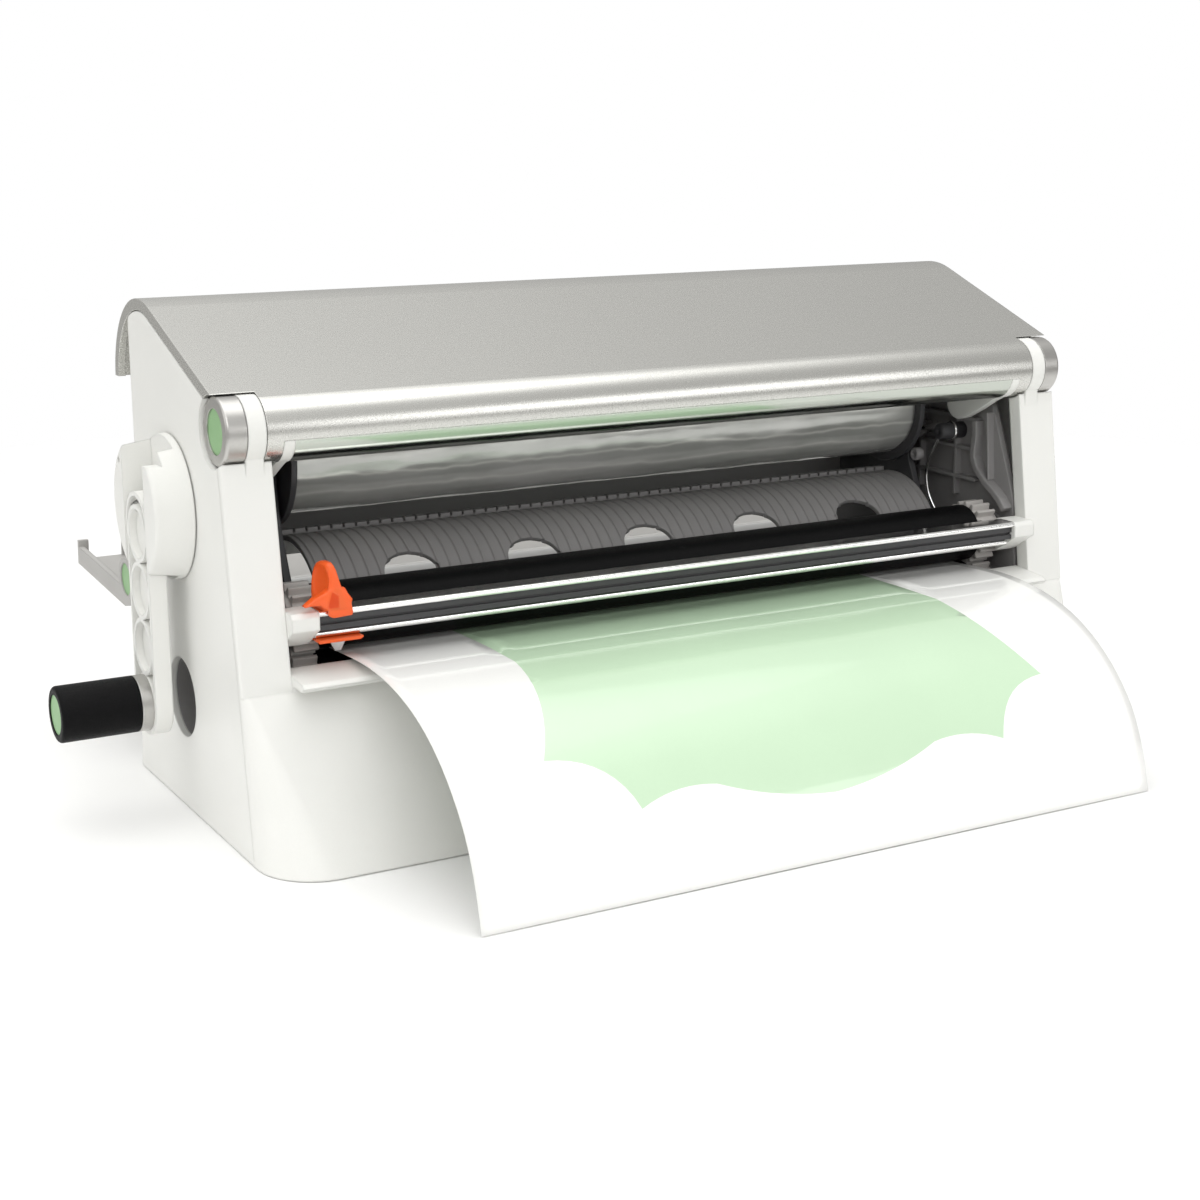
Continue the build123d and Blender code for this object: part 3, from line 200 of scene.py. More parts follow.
def edge_group():
    """Softened normal at hard edges, and a broken mask that marks those edges."""
    inputs = {"Radius": 0.9 * MM, "Gain": 4.0, "Breakup": 160.0}
    tree, graph, given, out = new_group("Softened Edges", inputs, {"Normal": VECTOR, "Edge": FLOAT})
    soft = graph.add("ShaderNodeBevel", {"Radius": given["Radius"]}, samples=6).outputs[0]
    flat = graph.add("ShaderNodeNewGeometry").outputs["Normal"]
    match = graph.add("ShaderNodeVectorMath", {0: soft, 1: flat}, operation="DOT_PRODUCT").outputs["Value"]
    turn = graph.maths("MULTIPLY", graph.maths("SUBTRACT", 1.0, match), given["Gain"], clamp=True)
    place = graph.add("ShaderNodeTexCoord").outputs["Object"]
    breaks = graph.add("ShaderNodeTexNoise", {"Vector": place, "Scale": given["Breakup"], "Detail": 4.0})
    broken = graph.remap(breaks.outputs[0], 0.4, 0.65, 0.0, 1.0)
    tree.links.new(soft, out["Normal"])
    tree.links.new(graph.maths("MULTIPLY", turn, broken, clamp=True), out["Edge"])
    return tree


def dust_group():
    """Mask of settled dust: faces that look up, in soft patches."""
    tree, graph, given, out = new_group("Settled Dust", {"Scale": 30.0, "Amount": 0.2}, {"Mask": FLOAT})
    normal = graph.add("ShaderNodeNewGeometry").outputs["Normal"]
    height = graph.add("ShaderNodeSeparateXYZ", {0: normal}).outputs["Z"]
    upward = graph.remap(height, 0.3, 1.0, 0.0, 1.0)
    place = graph.add("ShaderNodeTexCoord").outputs["Object"]
    patches = graph.add("ShaderNodeTexNoise", {"Vector": place, "Scale": given["Scale"], "Detail": 6.0})
    patchy = graph.remap(patches.outputs[0], 0.4, 0.75, 0.0, 1.0)
    mask = graph.maths("MULTIPLY", graph.maths("MULTIPLY", upward, patchy), given["Amount"], clamp=True)
    tree.links.new(mask, out["Mask"])
    return tree


def flake_group():
    """Metallic paint: a tone and a height for every small flake."""
    tree, graph, given, out = new_group("Metal Flake", {"Scale": 1700.0}, {"Tone": FLOAT, "Height": FLOAT})
    place = graph.add("ShaderNodeTexCoord").outputs["Object"]
    cells = graph.add("ShaderNodeTexVoronoi", {"Vector": place, "Scale": given["Scale"]})
    tone = graph.add("ShaderNodeSeparateColor", {0: cells.outputs["Color"]}).outputs[0]
    noise_inputs = {"Vector": place, "Scale": given["Scale"], "Detail": 2.0}
    fine = graph.add("ShaderNodeTexNoise", noise_inputs).outputs[0]
    tree.links.new(graph.maths("MULTIPLY", tone, fine), out["Tone"])
    tree.links.new(fine, out["Height"])
    return tree


def brushed_group():
    """Fine lines along X, as on ground shafts and turned rings."""
    tree, graph, given, out = new_group("Brushed Lines", {"Across": 1500.0, "Along": 40.0}, {"Lines": FLOAT})
    place = graph.add("ShaderNodeTexCoord").outputs["Object"]
    shares = {"X": given["Along"], "Y": given["Across"], "Z": given["Across"]}
    ratio = graph.add("ShaderNodeCombineXYZ", shares)
    stretched = graph.add("ShaderNodeVectorMath", {0: place, 1: ratio.outputs[0]}, operation="MULTIPLY")
    lines = graph.add("ShaderNodeTexNoise", {"Vector": stretched.outputs[0], "Scale": 1.0, "Detail": 4.0})
    tree.links.new(lines.outputs[0], out["Lines"])
    return tree


def painted_highlight_group():
    """Mask of long wavy painted highlight lines at a chosen angle round a roll that lies along X."""
    tree, graph, given, out = new_group(
        "Painted Highlight Lines", {"Middle Y": 0.0, "Middle Z": 0.0, "Turn": 0.0, "Half Width": 0.06, "Wander": 0.12},
        {"Mask": FLOAT},
    )
    place = graph.add("ShaderNodeSeparateXYZ", {0: graph.add("ShaderNodeTexCoord").outputs["Object"]}).outputs
    forward = graph.maths("SUBTRACT", given["Middle Y"], place["Y"])
    upward = graph.maths("SUBTRACT", place["Z"], given["Middle Z"])
    turn = graph.maths("SUBTRACT", graph.maths("ARCTAN2", upward, forward), given["Turn"])
    along = graph.add("ShaderNodeCombineXYZ", {"X": place["X"], "Y": given["Turn"]}).outputs[0]
    sway = graph.add("ShaderNodeTexNoise", {"Vector": along, "Scale": 26.0, "Detail": 3.0, "Roughness": 0.6})
    shift = graph.maths("MULTIPLY", graph.maths("SUBTRACT", sway.outputs[0], 0.5), given["Wander"])
    off = graph.maths("ABSOLUTE", graph.maths("SUBTRACT", turn, shift))
    share = graph.maths("SUBTRACT", 1.0, graph.maths("DIVIDE", off, given["Half Width"]), clamp=True)
    tree.links.new(graph.maths("MULTIPLY", share, share), out["Mask"])
    return tree


GROUPS = {}


def shared(name):
    """The shared effect of that name, built on first use."""
    makers = {
        "grain": grain_group, "edges": edge_group, "dust": dust_group, "flake": flake_group,
        "brushed": brushed_group, "painted_highlights": painted_highlight_group,
    }
    if name not in GROUPS:
        GROUPS[name] = makers[name]()
    return GROUPS[name]


def rgba(colour):
    return (*colour, 1.0)


def darker(colour, share):
    return rgba([share * part for part in colour])


class Finish:
    """One material: a Principled shader whose colour, roughness and normal are built up in steps."""

    def __init__(self, name, colour, roughness, **plain):
        self.material = bpy.data.materials.new(name)
        self.material.use_nodes = True
        self.graph = Graph(self.material.node_tree)
        self.shader = self.graph.add("ShaderNodeBsdfPrincipled", plain)
        surface = {"Surface": self.shader.outputs[0]}
        self.graph.add("ShaderNodeOutputMaterial", surface)
        self.base = rgba(colour)
        self.colour = self.base
        self.roughness = roughness
        self.normal = None

    def effect(self, name, **inputs):
        values = {key.replace("_", " ").title(): value for key, value in inputs.items()}
        return self.graph.add("ShaderNodeGroup", values, node_tree=shared(name)).outputs

    def tint(self, mask, share, amount=1.0):
        """Turn the colour towards a darker or lighter share of the base where mask is high."""
        part = self.graph.maths("MULTIPLY", mask, amount, clamp=True)
        self.colour = self.graph.blend(part, self.colour, darker(self.base[:3], share))
        return self

    def cover(self, mask, colour, amount=1.0):
        part = self.graph.maths("MULTIPLY", mask, amount, clamp=True)
        self.colour = self.graph.blend(part, self.colour, rgba(colour))
        return self

    def roughen(self, mask, amount):
        self.roughness = self.graph.maths("ADD", self.roughness, self.graph.maths("MULTIPLY", mask, amount))
        return self

    def bump(self, height, depth, strength=1.0):
        """Raise the surface by depth, in metres, where height is high."""
        inputs = {"Height": height, "Distance": depth, "Strength": strength}
        if self.normal is not None:
            inputs["Normal"] = self.normal
        self.normal = self.graph.add("ShaderNodeBump", inputs).outputs[0]
        return self

    def soften(self, radius, worn=0.0, worn_share=1.15):
        """Round the hard edges, and rub them lighter."""
        edges = self.effect("edges", radius=radius)
        self.normal = edges["Normal"]
        if worn:
            self.tint(edges["Edge"], worn_share, worn)
        return self

    def done(self):
        links = self.material.node_tree.links
        results = (("Base Color", self.colour), ("Roughness", self.roughness), ("Normal", self.normal))
        for name, value in results:
            if isinstance(value, bpy.types.NodeSocket):
                links.new(value, self.shader.inputs[name])
            elif value is not None:
                self.shader.inputs[name].default_value = value
        return self.material


# ---------------------------------------------------------------- finishes
DUST = (0.62, 0.60, 0.57)
# turn round the roll from the front, half width, wander (radians) and strength of each painted highlight: a
# near-white wavy line laid into the film's colour
PAINTED_HIGHLIGHTS = (
    (0.24, 0.045, 0.22, 1.0), (0.02, 0.10, 0.30, 0.5), (-0.30, 0.06, 0.28, 0.9), (-0.62, 0.10, 0.3, 0.5),
    (2.4, 0.06, 0.2, 0.6),
)


def moulded(name, colour, roughness, grain=0.006 * MM, dust=0.12, round_share=1.0, worn=0.25, worn_share=1.12,
            **plain):
    """Moulded plastic: cloudy colour, fine grain, softened and slightly rubbed edges, a little dust."""
    details = bpy.context.scene.laminator_details
    made = Finish(name, colour, roughness, **plain)
    made.soften(details.edge_round * round_share, worn, worn_share)
    clouds = made.effect("grain", scale=14.0, detail=5.0)["Mask"]
    specks = made.effect("grain", scale=1900.0, detail=2.0)["Mask"]
    made.tint(clouds, 0.93, 0.55)
    made.tint(specks, 0.96, 0.35)
    settled = made.effect("dust", amount=dust)["Mask"]
    made.cover(settled, DUST, 0.8)
    smears = made.effect("grain", scale=45.0, detail=6.0, low=0.45, high=0.75)["Mask"]
    made.roughen(smears, 0.10)
    made.roughen(settled, 0.5)
    made.bump(specks, grain)
    return made.done()


def lid_paint(colour):
    """Silver metallic paint with flakes that sparkle one by one."""
    details = bpy.context.scene.laminator_details
    made = Finish("lid_paint", colour, 0.23, Metallic=0.92, **{"Coat Weight": 0.12, "Coat Roughness": 0.25})
    made.soften(details.edge_round * 0.6, 0.3, 1.3)
    flakes = made.effect("flake", scale=3400.0)
    made.tint(flakes["Tone"], 0.62, 0.8)
    clouds = made.effect("grain", scale=9.0, detail=4.0)["Mask"]
    made.tint(clouds, 0.95, 0.5)
    made.roughen(flakes["Tone"], 0.16)
    made.cover(made.effect("dust", amount=0.05)["Mask"], DUST, 0.6)
    made.bump(flakes["Height"], 0.005 * MM)
    return made.done()


def bare_metal(name, colour, roughness, across=1500.0, along=40.0, depth=0.004 * MM, contrast=0.35):
    """Ground, turned or plated metal with fine lines and a few dull patches."""
    details = bpy.context.scene.laminator_details
    made = Finish(name, colour, roughness, Metallic=1.0)
    made.soften(details.edge_round * 0.5, 0.4, 1.25)
    lines = made.effect("brushed", across=across, along=along)["Lines"]
    made.tint(lines, 0.78, contrast)
    patches = made.effect("grain", scale=70.0, detail=5.0)["Mask"]
    made.roughen(patches, 0.05)
    made.roughen(lines, 0.08)
    made.bump(lines, depth)
    return made.done()


def rubber(name, colour, roughness, grain=0.02 * MM):
    """Black rubber: open grain, grey scuffs and lint."""
    details = bpy.context.scene.laminator_details
    made = Finish(name, colour, roughness, **{"Specular IOR Level": 0.14})
    made.soften(details.edge_round, 0.5, 3.0)
    pores = made.effect("grain", scale=1400.0, detail=4.0)["Mask"]
    lint = made.effect("grain", scale=260.0, detail=8.0, low=0.66, high=0.74)["Mask"]
    made.tint(pores, 0.6, 0.6)
    made.cover(lint, (0.10, 0.10, 0.10), 0.06)
    made.roughen(pores, 0.12)
    made.bump(pores, grain)
    return made.done()


def wound_film(colour):
    """Clear glossy film wound tight: greenish depth under a smooth skin, and wavy near-white lines of painted
    highlight.
    """
    made = Finish("wound_film", colour, 0.16, Metallic=0.45, **{"Coat Weight": 0.7, "Coat Roughness": 0.05})
    low, high = FILM_BOX
    middle = {"middle_y": (low.y + high.y) / 2, "middle_z": (low.z + high.z) / 2}
    clouds = made.effect("grain", scale=22.0, detail=5.0)["Mask"]
    made.cover(clouds, (0.24, 0.28, 0.23), 0.35)
    # painted highlights: near-white wavy lines covered into the colour where reflections of light would run
    for turn, half_width, wander, amount in PAINTED_HIGHLIGHTS:
        mask = made.effect("painted_highlights", turn=turn, half_width=half_width, wander=wander, **middle)["Mask"]
        made.cover(mask, (0.95, 0.95, 0.90), amount)
    lines = made.effect("brushed", across=260.0, along=9.0)["Lines"]
    made.roughen(lines, 0.12)
    made.bump(lines, 0.06 * MM)
    return made.done()


def laminated(name, colour, clouds_share):
    """Paper under a clear laminate: fibres below, a glossy and faintly wavy skin above."""
    made = Finish(name, colour, 0.32, **{"Coat Weight": 1.0, "Coat Roughness": 0.06})
    fibres = made.effect("grain", scale=900.0, detail=6.0)["Mask"]
    clouds = made.effect("grain", scale=18.0, detail=4.0)["Mask"]
    made.tint(fibres, 0.97, 0.4)
    made.tint(clouds, clouds_share, 0.6)
    waves = made.effect("grain", scale=40.0, detail=2.0, low=0.3, high=0.7)["Mask"]
    made.roughen(fibres, 0.05)
    made.bump(waves, 0.08 * MM)
    made.bump(fibres, 0.004 * MM)
    return made.done()


FINISHES = {}


def make_finishes():
    """Every finish by the name of the slot that takes it."""
    tints = bpy.context.scene.laminator_colours
    gloss = {"Specular IOR Level": 0.5, "Subsurface Weight": 0.06, "Subsurface Radius": (0.003, 0.003, 0.003)}
    FINISHES.update({
        "white_shell": moulded("white_moulding", tints.shell, 0.42, dust=0.05, round_share=1.3, **gloss),
        "silver_lid": lid_paint(tints.lid),
        "ring_metal": bare_metal("turned_ring", tints.ring, 0.26, across=900.0, along=900.0, contrast=0.5),
        "green_cap": moulded("green_cap", tints.cap, 0.42, dust=0.03, round_share=0.5, worn_share=1.3),
        "black_grip": rubber("knob_rubber", tints.grip, 0.48),
        "roller_rubber": rubber("roller_rubber", tints.grip, 0.40, grain=0.008 * MM),
        "steel": bare_metal("ground_steel", (0.55, 0.55, 0.55), 0.28),
        "chrome": bare_metal("chrome_plate", (0.92, 0.92, 0.91), 0.07, across=700.0, contrast=0.12,
                             depth=0.001 * MM),
        "black_rail": moulded("black_rail", (0.045, 0.045, 0.048), 0.33, dust=0.1, round_share=0.4,
                              worn_share=2.5),
        "gear_grey": moulded("gear_moulding", tints.gear, 0.38, dust=0.05, round_share=1.0),
        "frame_grey": moulded("frame_moulding", tints.inside, 0.5, round_share=1.0),
        "dark_grey": moulded("dark_moulding", tints.dark, 0.45, worn_share=1.6),
        "tray_grey": moulded("tray_moulding", tints.tray, 0.45, dust=0.15),
        "black_base": moulded("base_moulding", (0.02, 0.02, 0.022), 0.55, worn_share=2.0),
        "orange": moulded("orange_moulding", tints.cutter, 0.30, dust=0.0, worn_share=1.1,
                          **{"Subsurface Weight": 0.12, "Subsurface Radius": (0.004, 0.001, 0.0005)}),
        "visor_metal": bare_metal("visor_trim", (0.55, 0.58, 0.53), 0.10, across=500.0, along=6.0,
                                  contrast=0.25, depth=0.002 * MM),
        "film": wound_film(tints.film),
        "card": moulded("card_core", (0.30, 0.21, 0.13), 0.85, grain=0.03 * MM),
        "sheet": laminated("laminated_paper", tints.paper, 0.97),
        "print": laminated("laminated_print", tints.print, 0.94),
        "pad_rubber": rubber("pad_rubber", (0.03, 0.03, 0.03), 0.8),
    })


def dress(*nodes):
    """Give CAD nodes the finish of their own slot."""
    for name in nodes:
        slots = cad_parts[name].data.materials
        slots[0] = FINISHES[SLOT_OF_NODE[name]]


# ---------------------------------------------------------------- mesh helpers
def add_piece(name, mesh, body, slot, smooth=True):
    """A new piece that rides on a body and takes the finish of a slot."""
    made = bpy.data.objects.new(name, mesh)
    bpy.context.scene.collection.objects.link(made)
    mesh.materials.append(FINISHES[slot])
    for face in mesh.polygons:
        face.use_smooth = smooth
    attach(made, body)
    return made


def mesh_of(shape, name):
    """Turn a bmesh into a mesh and free it."""
    bmesh.ops.recalc_face_normals(shape, faces=shape.faces)
    mesh = bpy.data.meshes.new(name)
    shape.to_mesh(mesh)
    shape.free()
    return mesh


AXIS_ORDER = {
    "x": lambda a, b, at: (at, a, b),
    "y": lambda a, b, at: (a, at, b),
    "z": lambda a, b, at: (a, b, at),
}


def slab(shape, outline, axis, start, end, rounding, segments=3):
    """Carry a flat outline along an axis and round its edges; adds to the bmesh given."""
    place = AXIS_ORDER[axis]
    part = bmesh.new()
    low = [part.verts.new(place(a, b, start)) for a, b in outline]
    high = [part.verts.new(place(a, b, end)) for a, b in outline]
    part.faces.new(low)
    part.faces.new(high)
    count = len(outline)
    for index in range(count):
        after = (index + 1) % count
        part.faces.new((low[index], low[after], high[after], high[index]))
    bmesh.ops.recalc_face_normals(part, faces=part.faces)
    if rounding:
        bmesh.ops.bevel(
            part, geom=part.edges[:], offset=rounding, segments=segments, profile=0.5, affect="EDGES",
            clamp_overlap=True,
        )
    join(shape, part)


def join(shape, part):
    """Move a bmesh's faces into another."""
    mesh = bpy.data.meshes.new("part")
    part.to_mesh(mesh)
    part.free()
    shape.from_mesh(mesh)
    bpy.data.meshes.remove(mesh)


def turned(shape, profile, y, z, steps=72):
    """Turn a closed profile of (x, radius) points about the line through (y, z) along X."""
    rings = []
    for index in range(steps):
        turn = 2 * math.pi * index / steps
        rings.append([
            shape.verts.new((x, y + radius * math.cos(turn), z + radius * math.sin(turn)))
            for x, radius in profile
        ])
    count = len(profile)
    for index in range(steps):
        here, there = rings[index], rings[(index + 1) % steps]
        for corner in range(count):
            after = (corner + 1) % count
            shape.faces.new((here[corner], here[after], there[after], there[corner]))


def wire(name, points, radius, body, slot):
    """A round strand through given points."""
    curve = bpy.data.curves.new(name, "CURVE")
    curve.dimensions = "3D"
    curve.bevel_depth = radius
    curve.bevel_resolution = 4
    curve.use_fill_caps = True
    spline = curve.splines.new("NURBS")
    spline.points.add(len(points) - 1)
    for spot, point in zip(spline.points, points):
        spot.co = (*point, 1.0)
    spline.order_u = 3
    spline.use_endpoint_u = True
    made = bpy.data.objects.new(name, curve)
    bpy.context.scene.collection.objects.link(made)
    curve.materials.append(FINISHES[slot])
    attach(made, body)
    return made


# ---------------------------------------------------------------- film, guide, sheet
GUIDE_MIDDLE_Y = 12.0 * MM
GUIDE_RADIUS = 36.0 * MM
GUIDE_BACK, GUIDE_FRONT = math.radians(77), math.radians(142)
GUIDE_WALL = 2.0 * MM
GUIDE_ROWS = 26
RIB_FADE_IN = 6              # a rib reaches its full height over this part of the arch
NOTCH_COUNT = 5
NOTCH_PITCH = 55.0 * MM
NOTCH_HALF = 12.0 * MM
NOTCH_TURN = math.radians(17.0)
NOTCH_STEPS = 12             # points along each half of a notch
NOTCH_STEP_TURN = 7.5        # degrees from one of them to the next
# grey plate behind the film roll that stands in for shade: it darkens the view of the lit rear wall
SHADE_PLATE_OUTLINE = [(55.0, 98.0), (56.6, 98.0), (57.4, 126.0), (55.8, 126.0)]    # (y, z) in millimetres
SHADE_PLATE_ROUND = 0.4 * MM


def film_mesh():
    """Wound film whose outer turns lie in long shallow waves."""
    details = bpy.context.scene.laminator_details
    low, high = FILM_BOX
    y, z = (low.y + high.y) / 2, (low.z + high.z) / 2
    radius = (high.z - low.z) / 2
    around, along = details.film_turns, 220
    shape = bmesh.new()
    rings = []
    for column in range(along + 1):
        x = low.x + (high.x - low.x) * column / along
        ring = []
        for row in range(around):
            turn = 2 * math.pi * row / around
            circle = Vector((math.cos(turn), math.sin(turn), 0.0))
            wave = noise.noise(Vector((x * 22.0, circle.x * 3.2, circle.y * 3.2)))
            wave += 0.35 * noise.noise(Vector((x * 90.0, circle.x * 7.0, circle.y * 7.0)))
            depth = radius - details.ripple * (0.5 + 0.5 * wave)
            ring.append(shape.verts.new((x, y + depth * circle.x, z + depth * circle.y)))
        rings.append(ring)
    for here, there in zip(rings, rings[1:]):
        for row in range(around):
            after = (row + 1) % around
            shape.faces.new((here[row], here[after], there[after], there[row]))
    shape.faces.new(rings[0])
    shape.faces.new(rings[-1])
    return mesh_of(shape, "wound_film")


def guide_columns(low_x, high_x, notches):
    """Places along X where the guide's surface changes, each with its height above the plain curve."""
    details = bpy.context.scene.laminator_details
    half, height = details.rib_width / 2, details.rib_height
    count = int((high_x - low_x) / details.rib_pitch)
    pitch = (high_x - low_x) / count
    columns = {low_x: 0.0, high_x: 0.0}
    for index in range(count):
        middle = low_x + (index + 0.5) * pitch
        for shift, rise in ((-half, 0.0), (-0.5 * half, height), (0.5 * half, height), (half, 0.0)):
            columns[middle + shift] = rise
    ribs = sorted(columns)
    for middle in notches:
        for step in range(-NOTCH_STEPS, NOTCH_STEPS + 1):
            x = middle + NOTCH_HALF * math.sin(math.radians(NOTCH_STEP_TURN * step))
            columns.setdefault(x, float(np.interp(x, ribs, [columns[rib] for rib in ribs])))
    return sorted(columns.items())


def guide_mesh():
    """Arched paper guide with fine ribs, and finger notches in the edge behind the rollers."""
    low, high = GUIDE_BOX
    middle_y, radius = GUIDE_MIDDLE_Y, GUIDE_RADIUS
    middle_z = high.z - radius
    back, front = GUIDE_BACK, GUIDE_FRONT
    notches = [(index - NOTCH_COUNT // 2) * NOTCH_PITCH for index in range(NOTCH_COUNT)]
    rows = GUIDE_ROWS
    shape = bmesh.new()
    strips = []
    for x, rise in guide_columns(low.x, high.x, notches):
        off = min(abs(x - middle) for middle in notches) / NOTCH_HALF
        bite = NOTCH_TURN * math.sqrt(max(0.0, 1 - off**2))
        strip = []
        for row in range(rows + 1):
            turn = back + (front - bite - back) * row / rows
            far = radius + rise * min(1.0, RIB_FADE_IN * row / rows)
            place = (x, middle_y + far * math.cos(turn), middle_z + far * math.sin(turn))
            strip.append(shape.verts.new(place))
        strips.append(strip)
    for here, there in zip(strips, strips[1:]):
        for row in range(rows):
            shape.faces.new((here[row], here[row + 1], there[row + 1], there[row]))
    mesh = mesh_of(shape, "ribbed_guide")
    if sum(face.normal.z * face.area for face in mesh.polygons) < 0:
        mesh.flip_normals()
    return mesh


def shade_plate_mesh():
    """Grey plate behind the film roll that hides the lit rear wall under painted shade."""
    low, high = GUIDE_BOX
    shape = bmesh.new()
    slab(shape, [(y * MM, z * MM) for y, z in SHADE_PLATE_OUTLINE], "x", low.x, high.x, SHADE_PLATE_ROUND)
    return mesh_of(shape, "rear_shade_plate")


def sheet_profile():
    """Upper surface of the sheet from its tail to its front edge, as points (y, z), read from the frame."""
    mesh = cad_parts["laminated_sheet"].data
    face_side = SHEET_BOX[1].x - 0.01 * MM
    up_and_front = Vector((0.0, -0.5, 0.87))
    seen = set()
    for face in mesh.polygons:
        if face.normal.dot(up_and_front) < 0.3:
            continue
        for index in face.vertices:
            spot = mesh.vertices[index].co
            if spot.x > face_side:
                seen.add((round(spot.y, 7), round(spot.z, 7)))
    return np.array(sorted(seen, key=lambda spot: -spot[0]))


def print_outline(length):
    """Printed panel on the flat sheet, as (x, run) points: straight sides that flare, and a wavy end."""
    details = bpy.context.scene.laminator_details
    half, tail = details.print_half, details.print_tail
    flare = 14.5 * MM
    end = 226.0 * MM
    points = []

    def arc(first, last, bulge, steps=9):
        """Points from first to last, bowed sideways by bulge."""
        (x0, s0), (x1, s1) = first, last
        span = math.hypot(x1 - x0, s1 - s0)
        for step in range(steps):
            share = step / steps
            bow = 4 * bulge * share * (1 - share)
            points.append((
                x0 + (x1 - x0) * share + bow * (s1 - s0) / span,
                s0 + (s1 - s0) * share - bow * (x1 - x0) / span,
            ))

    straight = end - 56.0 * MM
    tip, notch = (half + flare, end), (half - 17.0 * MM, end + 24.0 * MM)
    shoulder = (50.0 * MM, end + 20.0 * MM)
    arc((half, straight), tip, -3.2 * MM)
    arc(tip, notch, -6.5 * MM)
    arc(notch, shoulder, -2.6 * MM)
    arc(shoulder, (0.0, end + 31.5 * MM), 2.2 * MM)
    front = points + [(0.0, end + 31.5 * MM)] + [(-x, s) for x, s in reversed(points)]
    back = [(x, length - s) for x, s in reversed(front)]
    shift = tail - min(s for _, s in back)
    back = [(x, s + shift) for x, s in back]
    return front + back


def inside(outline, x, run):
    """True where the point lies within the closed outline."""
    hit = False
    before = outline[-1]
    for here in outline:
        if (here[1] > run) != (before[1] > run):
            cross = here[0] + (run - here[1]) * (before[0] - here[0]) / (before[1] - here[1])
            if x < cross:
                hit = not hit
        before = here
    return hit


def sheet_mesh():
    """Sheet as one skin, cut along the outline of its printed panel."""
    details = bpy.context.scene.laminator_details
    profile = sheet_profile()
    runs = np.concatenate(([0.0], np.cumsum(np.hypot(*np.diff(profile, axis=0).T))))
    length = runs[-1]
    low, high = SHEET_BOX
    across = int((high.x - low.x) / details.sheet_step)
    along = int(length / details.sheet_step)
    outline = print_outline(length)
    flat = [Vector(point) for point in outline]
    edges = [(index, (index + 1) % len(outline)) for index in range(len(outline))]
    keep_off = 0.35 * details.sheet_step
    for row in range(along + 1):
        for column in range(across + 1):
            spot = Vector((low.x + (high.x - low.x) * column / across, length * row / along))
            if min((spot - point).length for point in flat[:len(outline)]) > keep_off:
                flat.append(spot)
    points, _, faces, *_ = geometry.delaunay_2d_cdt(flat, edges, [], 0, 1e-7)
    shape = bmesh.new()
    nip_run = float(np.interp(29.2 * MM, -profile[:, 0], runs))
    for point in points:
        y = float(np.interp(point.y, runs, profile[:, 0]))
        z = float(np.interp(point.y, runs, profile[:, 1]))
        free = min(max((point.y - nip_run - 20.0 * MM) / (60.0 * MM), 0.0), 1.0)
        free *= min(1.0, (length - point.y) / (20.0 * MM))
        wave = noise.noise(Vector((point.x * 14.0, point.y * 9.0, 2.0)))
        shape.verts.new((point.x, y, z + 0.5 * MM * free * wave))
    shape.verts.ensure_lookup_table()
    for corners in faces:
        middle = sum((points[corner] for corner in corners), Vector((0.0, 0.0))) / 3
        face = shape.faces.new([shape.verts[corner] for corner in corners])
        face.material_index = 1 if inside(outline, middle.x, middle.y) else 0
    mesh = mesh_of(shape, "laminated_project")
    if sum(face.normal.z * face.area for face in mesh.polygons) < 0:
        mesh.flip_normals()
    return mesh, length


# ---------------------------------------------------------------- cutter
class FinLevel:
    """One level of the thumb fin: a four-sided section with rounded corners."""

    def __init__(self, rise, left, right, back_left, back_right, front, back):
        self.values = np.array([rise, left, right, back_left, back_right, front, back])


def fin_levels():
    """The fin from its foot on the strip to its rounded top; millimetres from the slide's own corner."""
    return [
        FinLevel(0.0, 2.4, 13.2, 1.8, 10.9, 0.0, 13.6),
        FinLevel(2.4, 2.8, 12.8, 1.6, 10.2, 0.0, 13.6),
        FinLevel(5.6, 3.4, 11.4, 1.6, 9.2, 0.0, 13.6),
        FinLevel(8.8, 4.4, 9.8, 1.8, 8.4, 0.0, 13.5),
        FinLevel(12.0, 4.8, 8.7, 2.2, 7.9, 0.1, 13.0),
        FinLevel(14.6, 4.7, 8.0, 2.6, 7.4, 0.5, 12.0),
        FinLevel(16.4, 4.6, 7.3, 3.2, 6.9, 1.3, 10.3),
        FinLevel(17.4, 4.8, 6.8, 4.0, 6.4, 2.8, 8.2),
    ]


def fin_dish(y, z):
    """Depth of the oval thumb rest pressed into the fin's left face."""
    off = ((y - 6.6) / 5.4) ** 2 + ((z - 9.6) / 6.6) ** 2
    return 1.7 * math.sqrt(1 - off) if off < 1 else 0.0


def fin_mesh(corner_x, corner_y, base_z, smooth_levels=44, around=88):
    keyed = np.array([level.values for level in fin_levels()])
    shape = bmesh.new()
    rings = []
    for index in range(smooth_levels + 1):
        rise = keyed[-1, 0] * math.sin(0.5 * math.pi * index / smooth_levels)
        left, right, back_left, back_right, front, back = (
            np.interp(rise, keyed[:, 0], keyed[:, column]) for column in range(1, 7)
        )
        ring = []
        for step in range(around):
            turn = 2 * math.pi * step / around
            across = math.copysign(abs(math.cos(turn)) ** 0.38, math.cos(turn))
            deep = math.copysign(abs(math.sin(turn)) ** 0.38, math.sin(turn))
            share_x, share_y = 0.5 + 0.5 * across, 0.5 + 0.5 * deep
            low_x = left + (back_left - left) * share_y
            high_x = right + (back_right - right) * share_y
            x, y = low_x + (high_x - low_x) * share_x, front + (back - front) * share_y
            x += fin_dish(y, rise) * max(0.0, 1 - 2.5 * share_x)
            ring.append(shape.verts.new((corner_x + x * MM, corner_y + y * MM, base_z + rise * MM)))
        rings.append(ring)
    for here, there in zip(rings, rings[1:]):
        for step in range(around):
            after = (step + 1) % around
            shape.faces.new((here[step], here[after], there[after], there[step]))
    shape.faces.new(rings[0])
    shape.faces.new(rings[-1])
    return shape


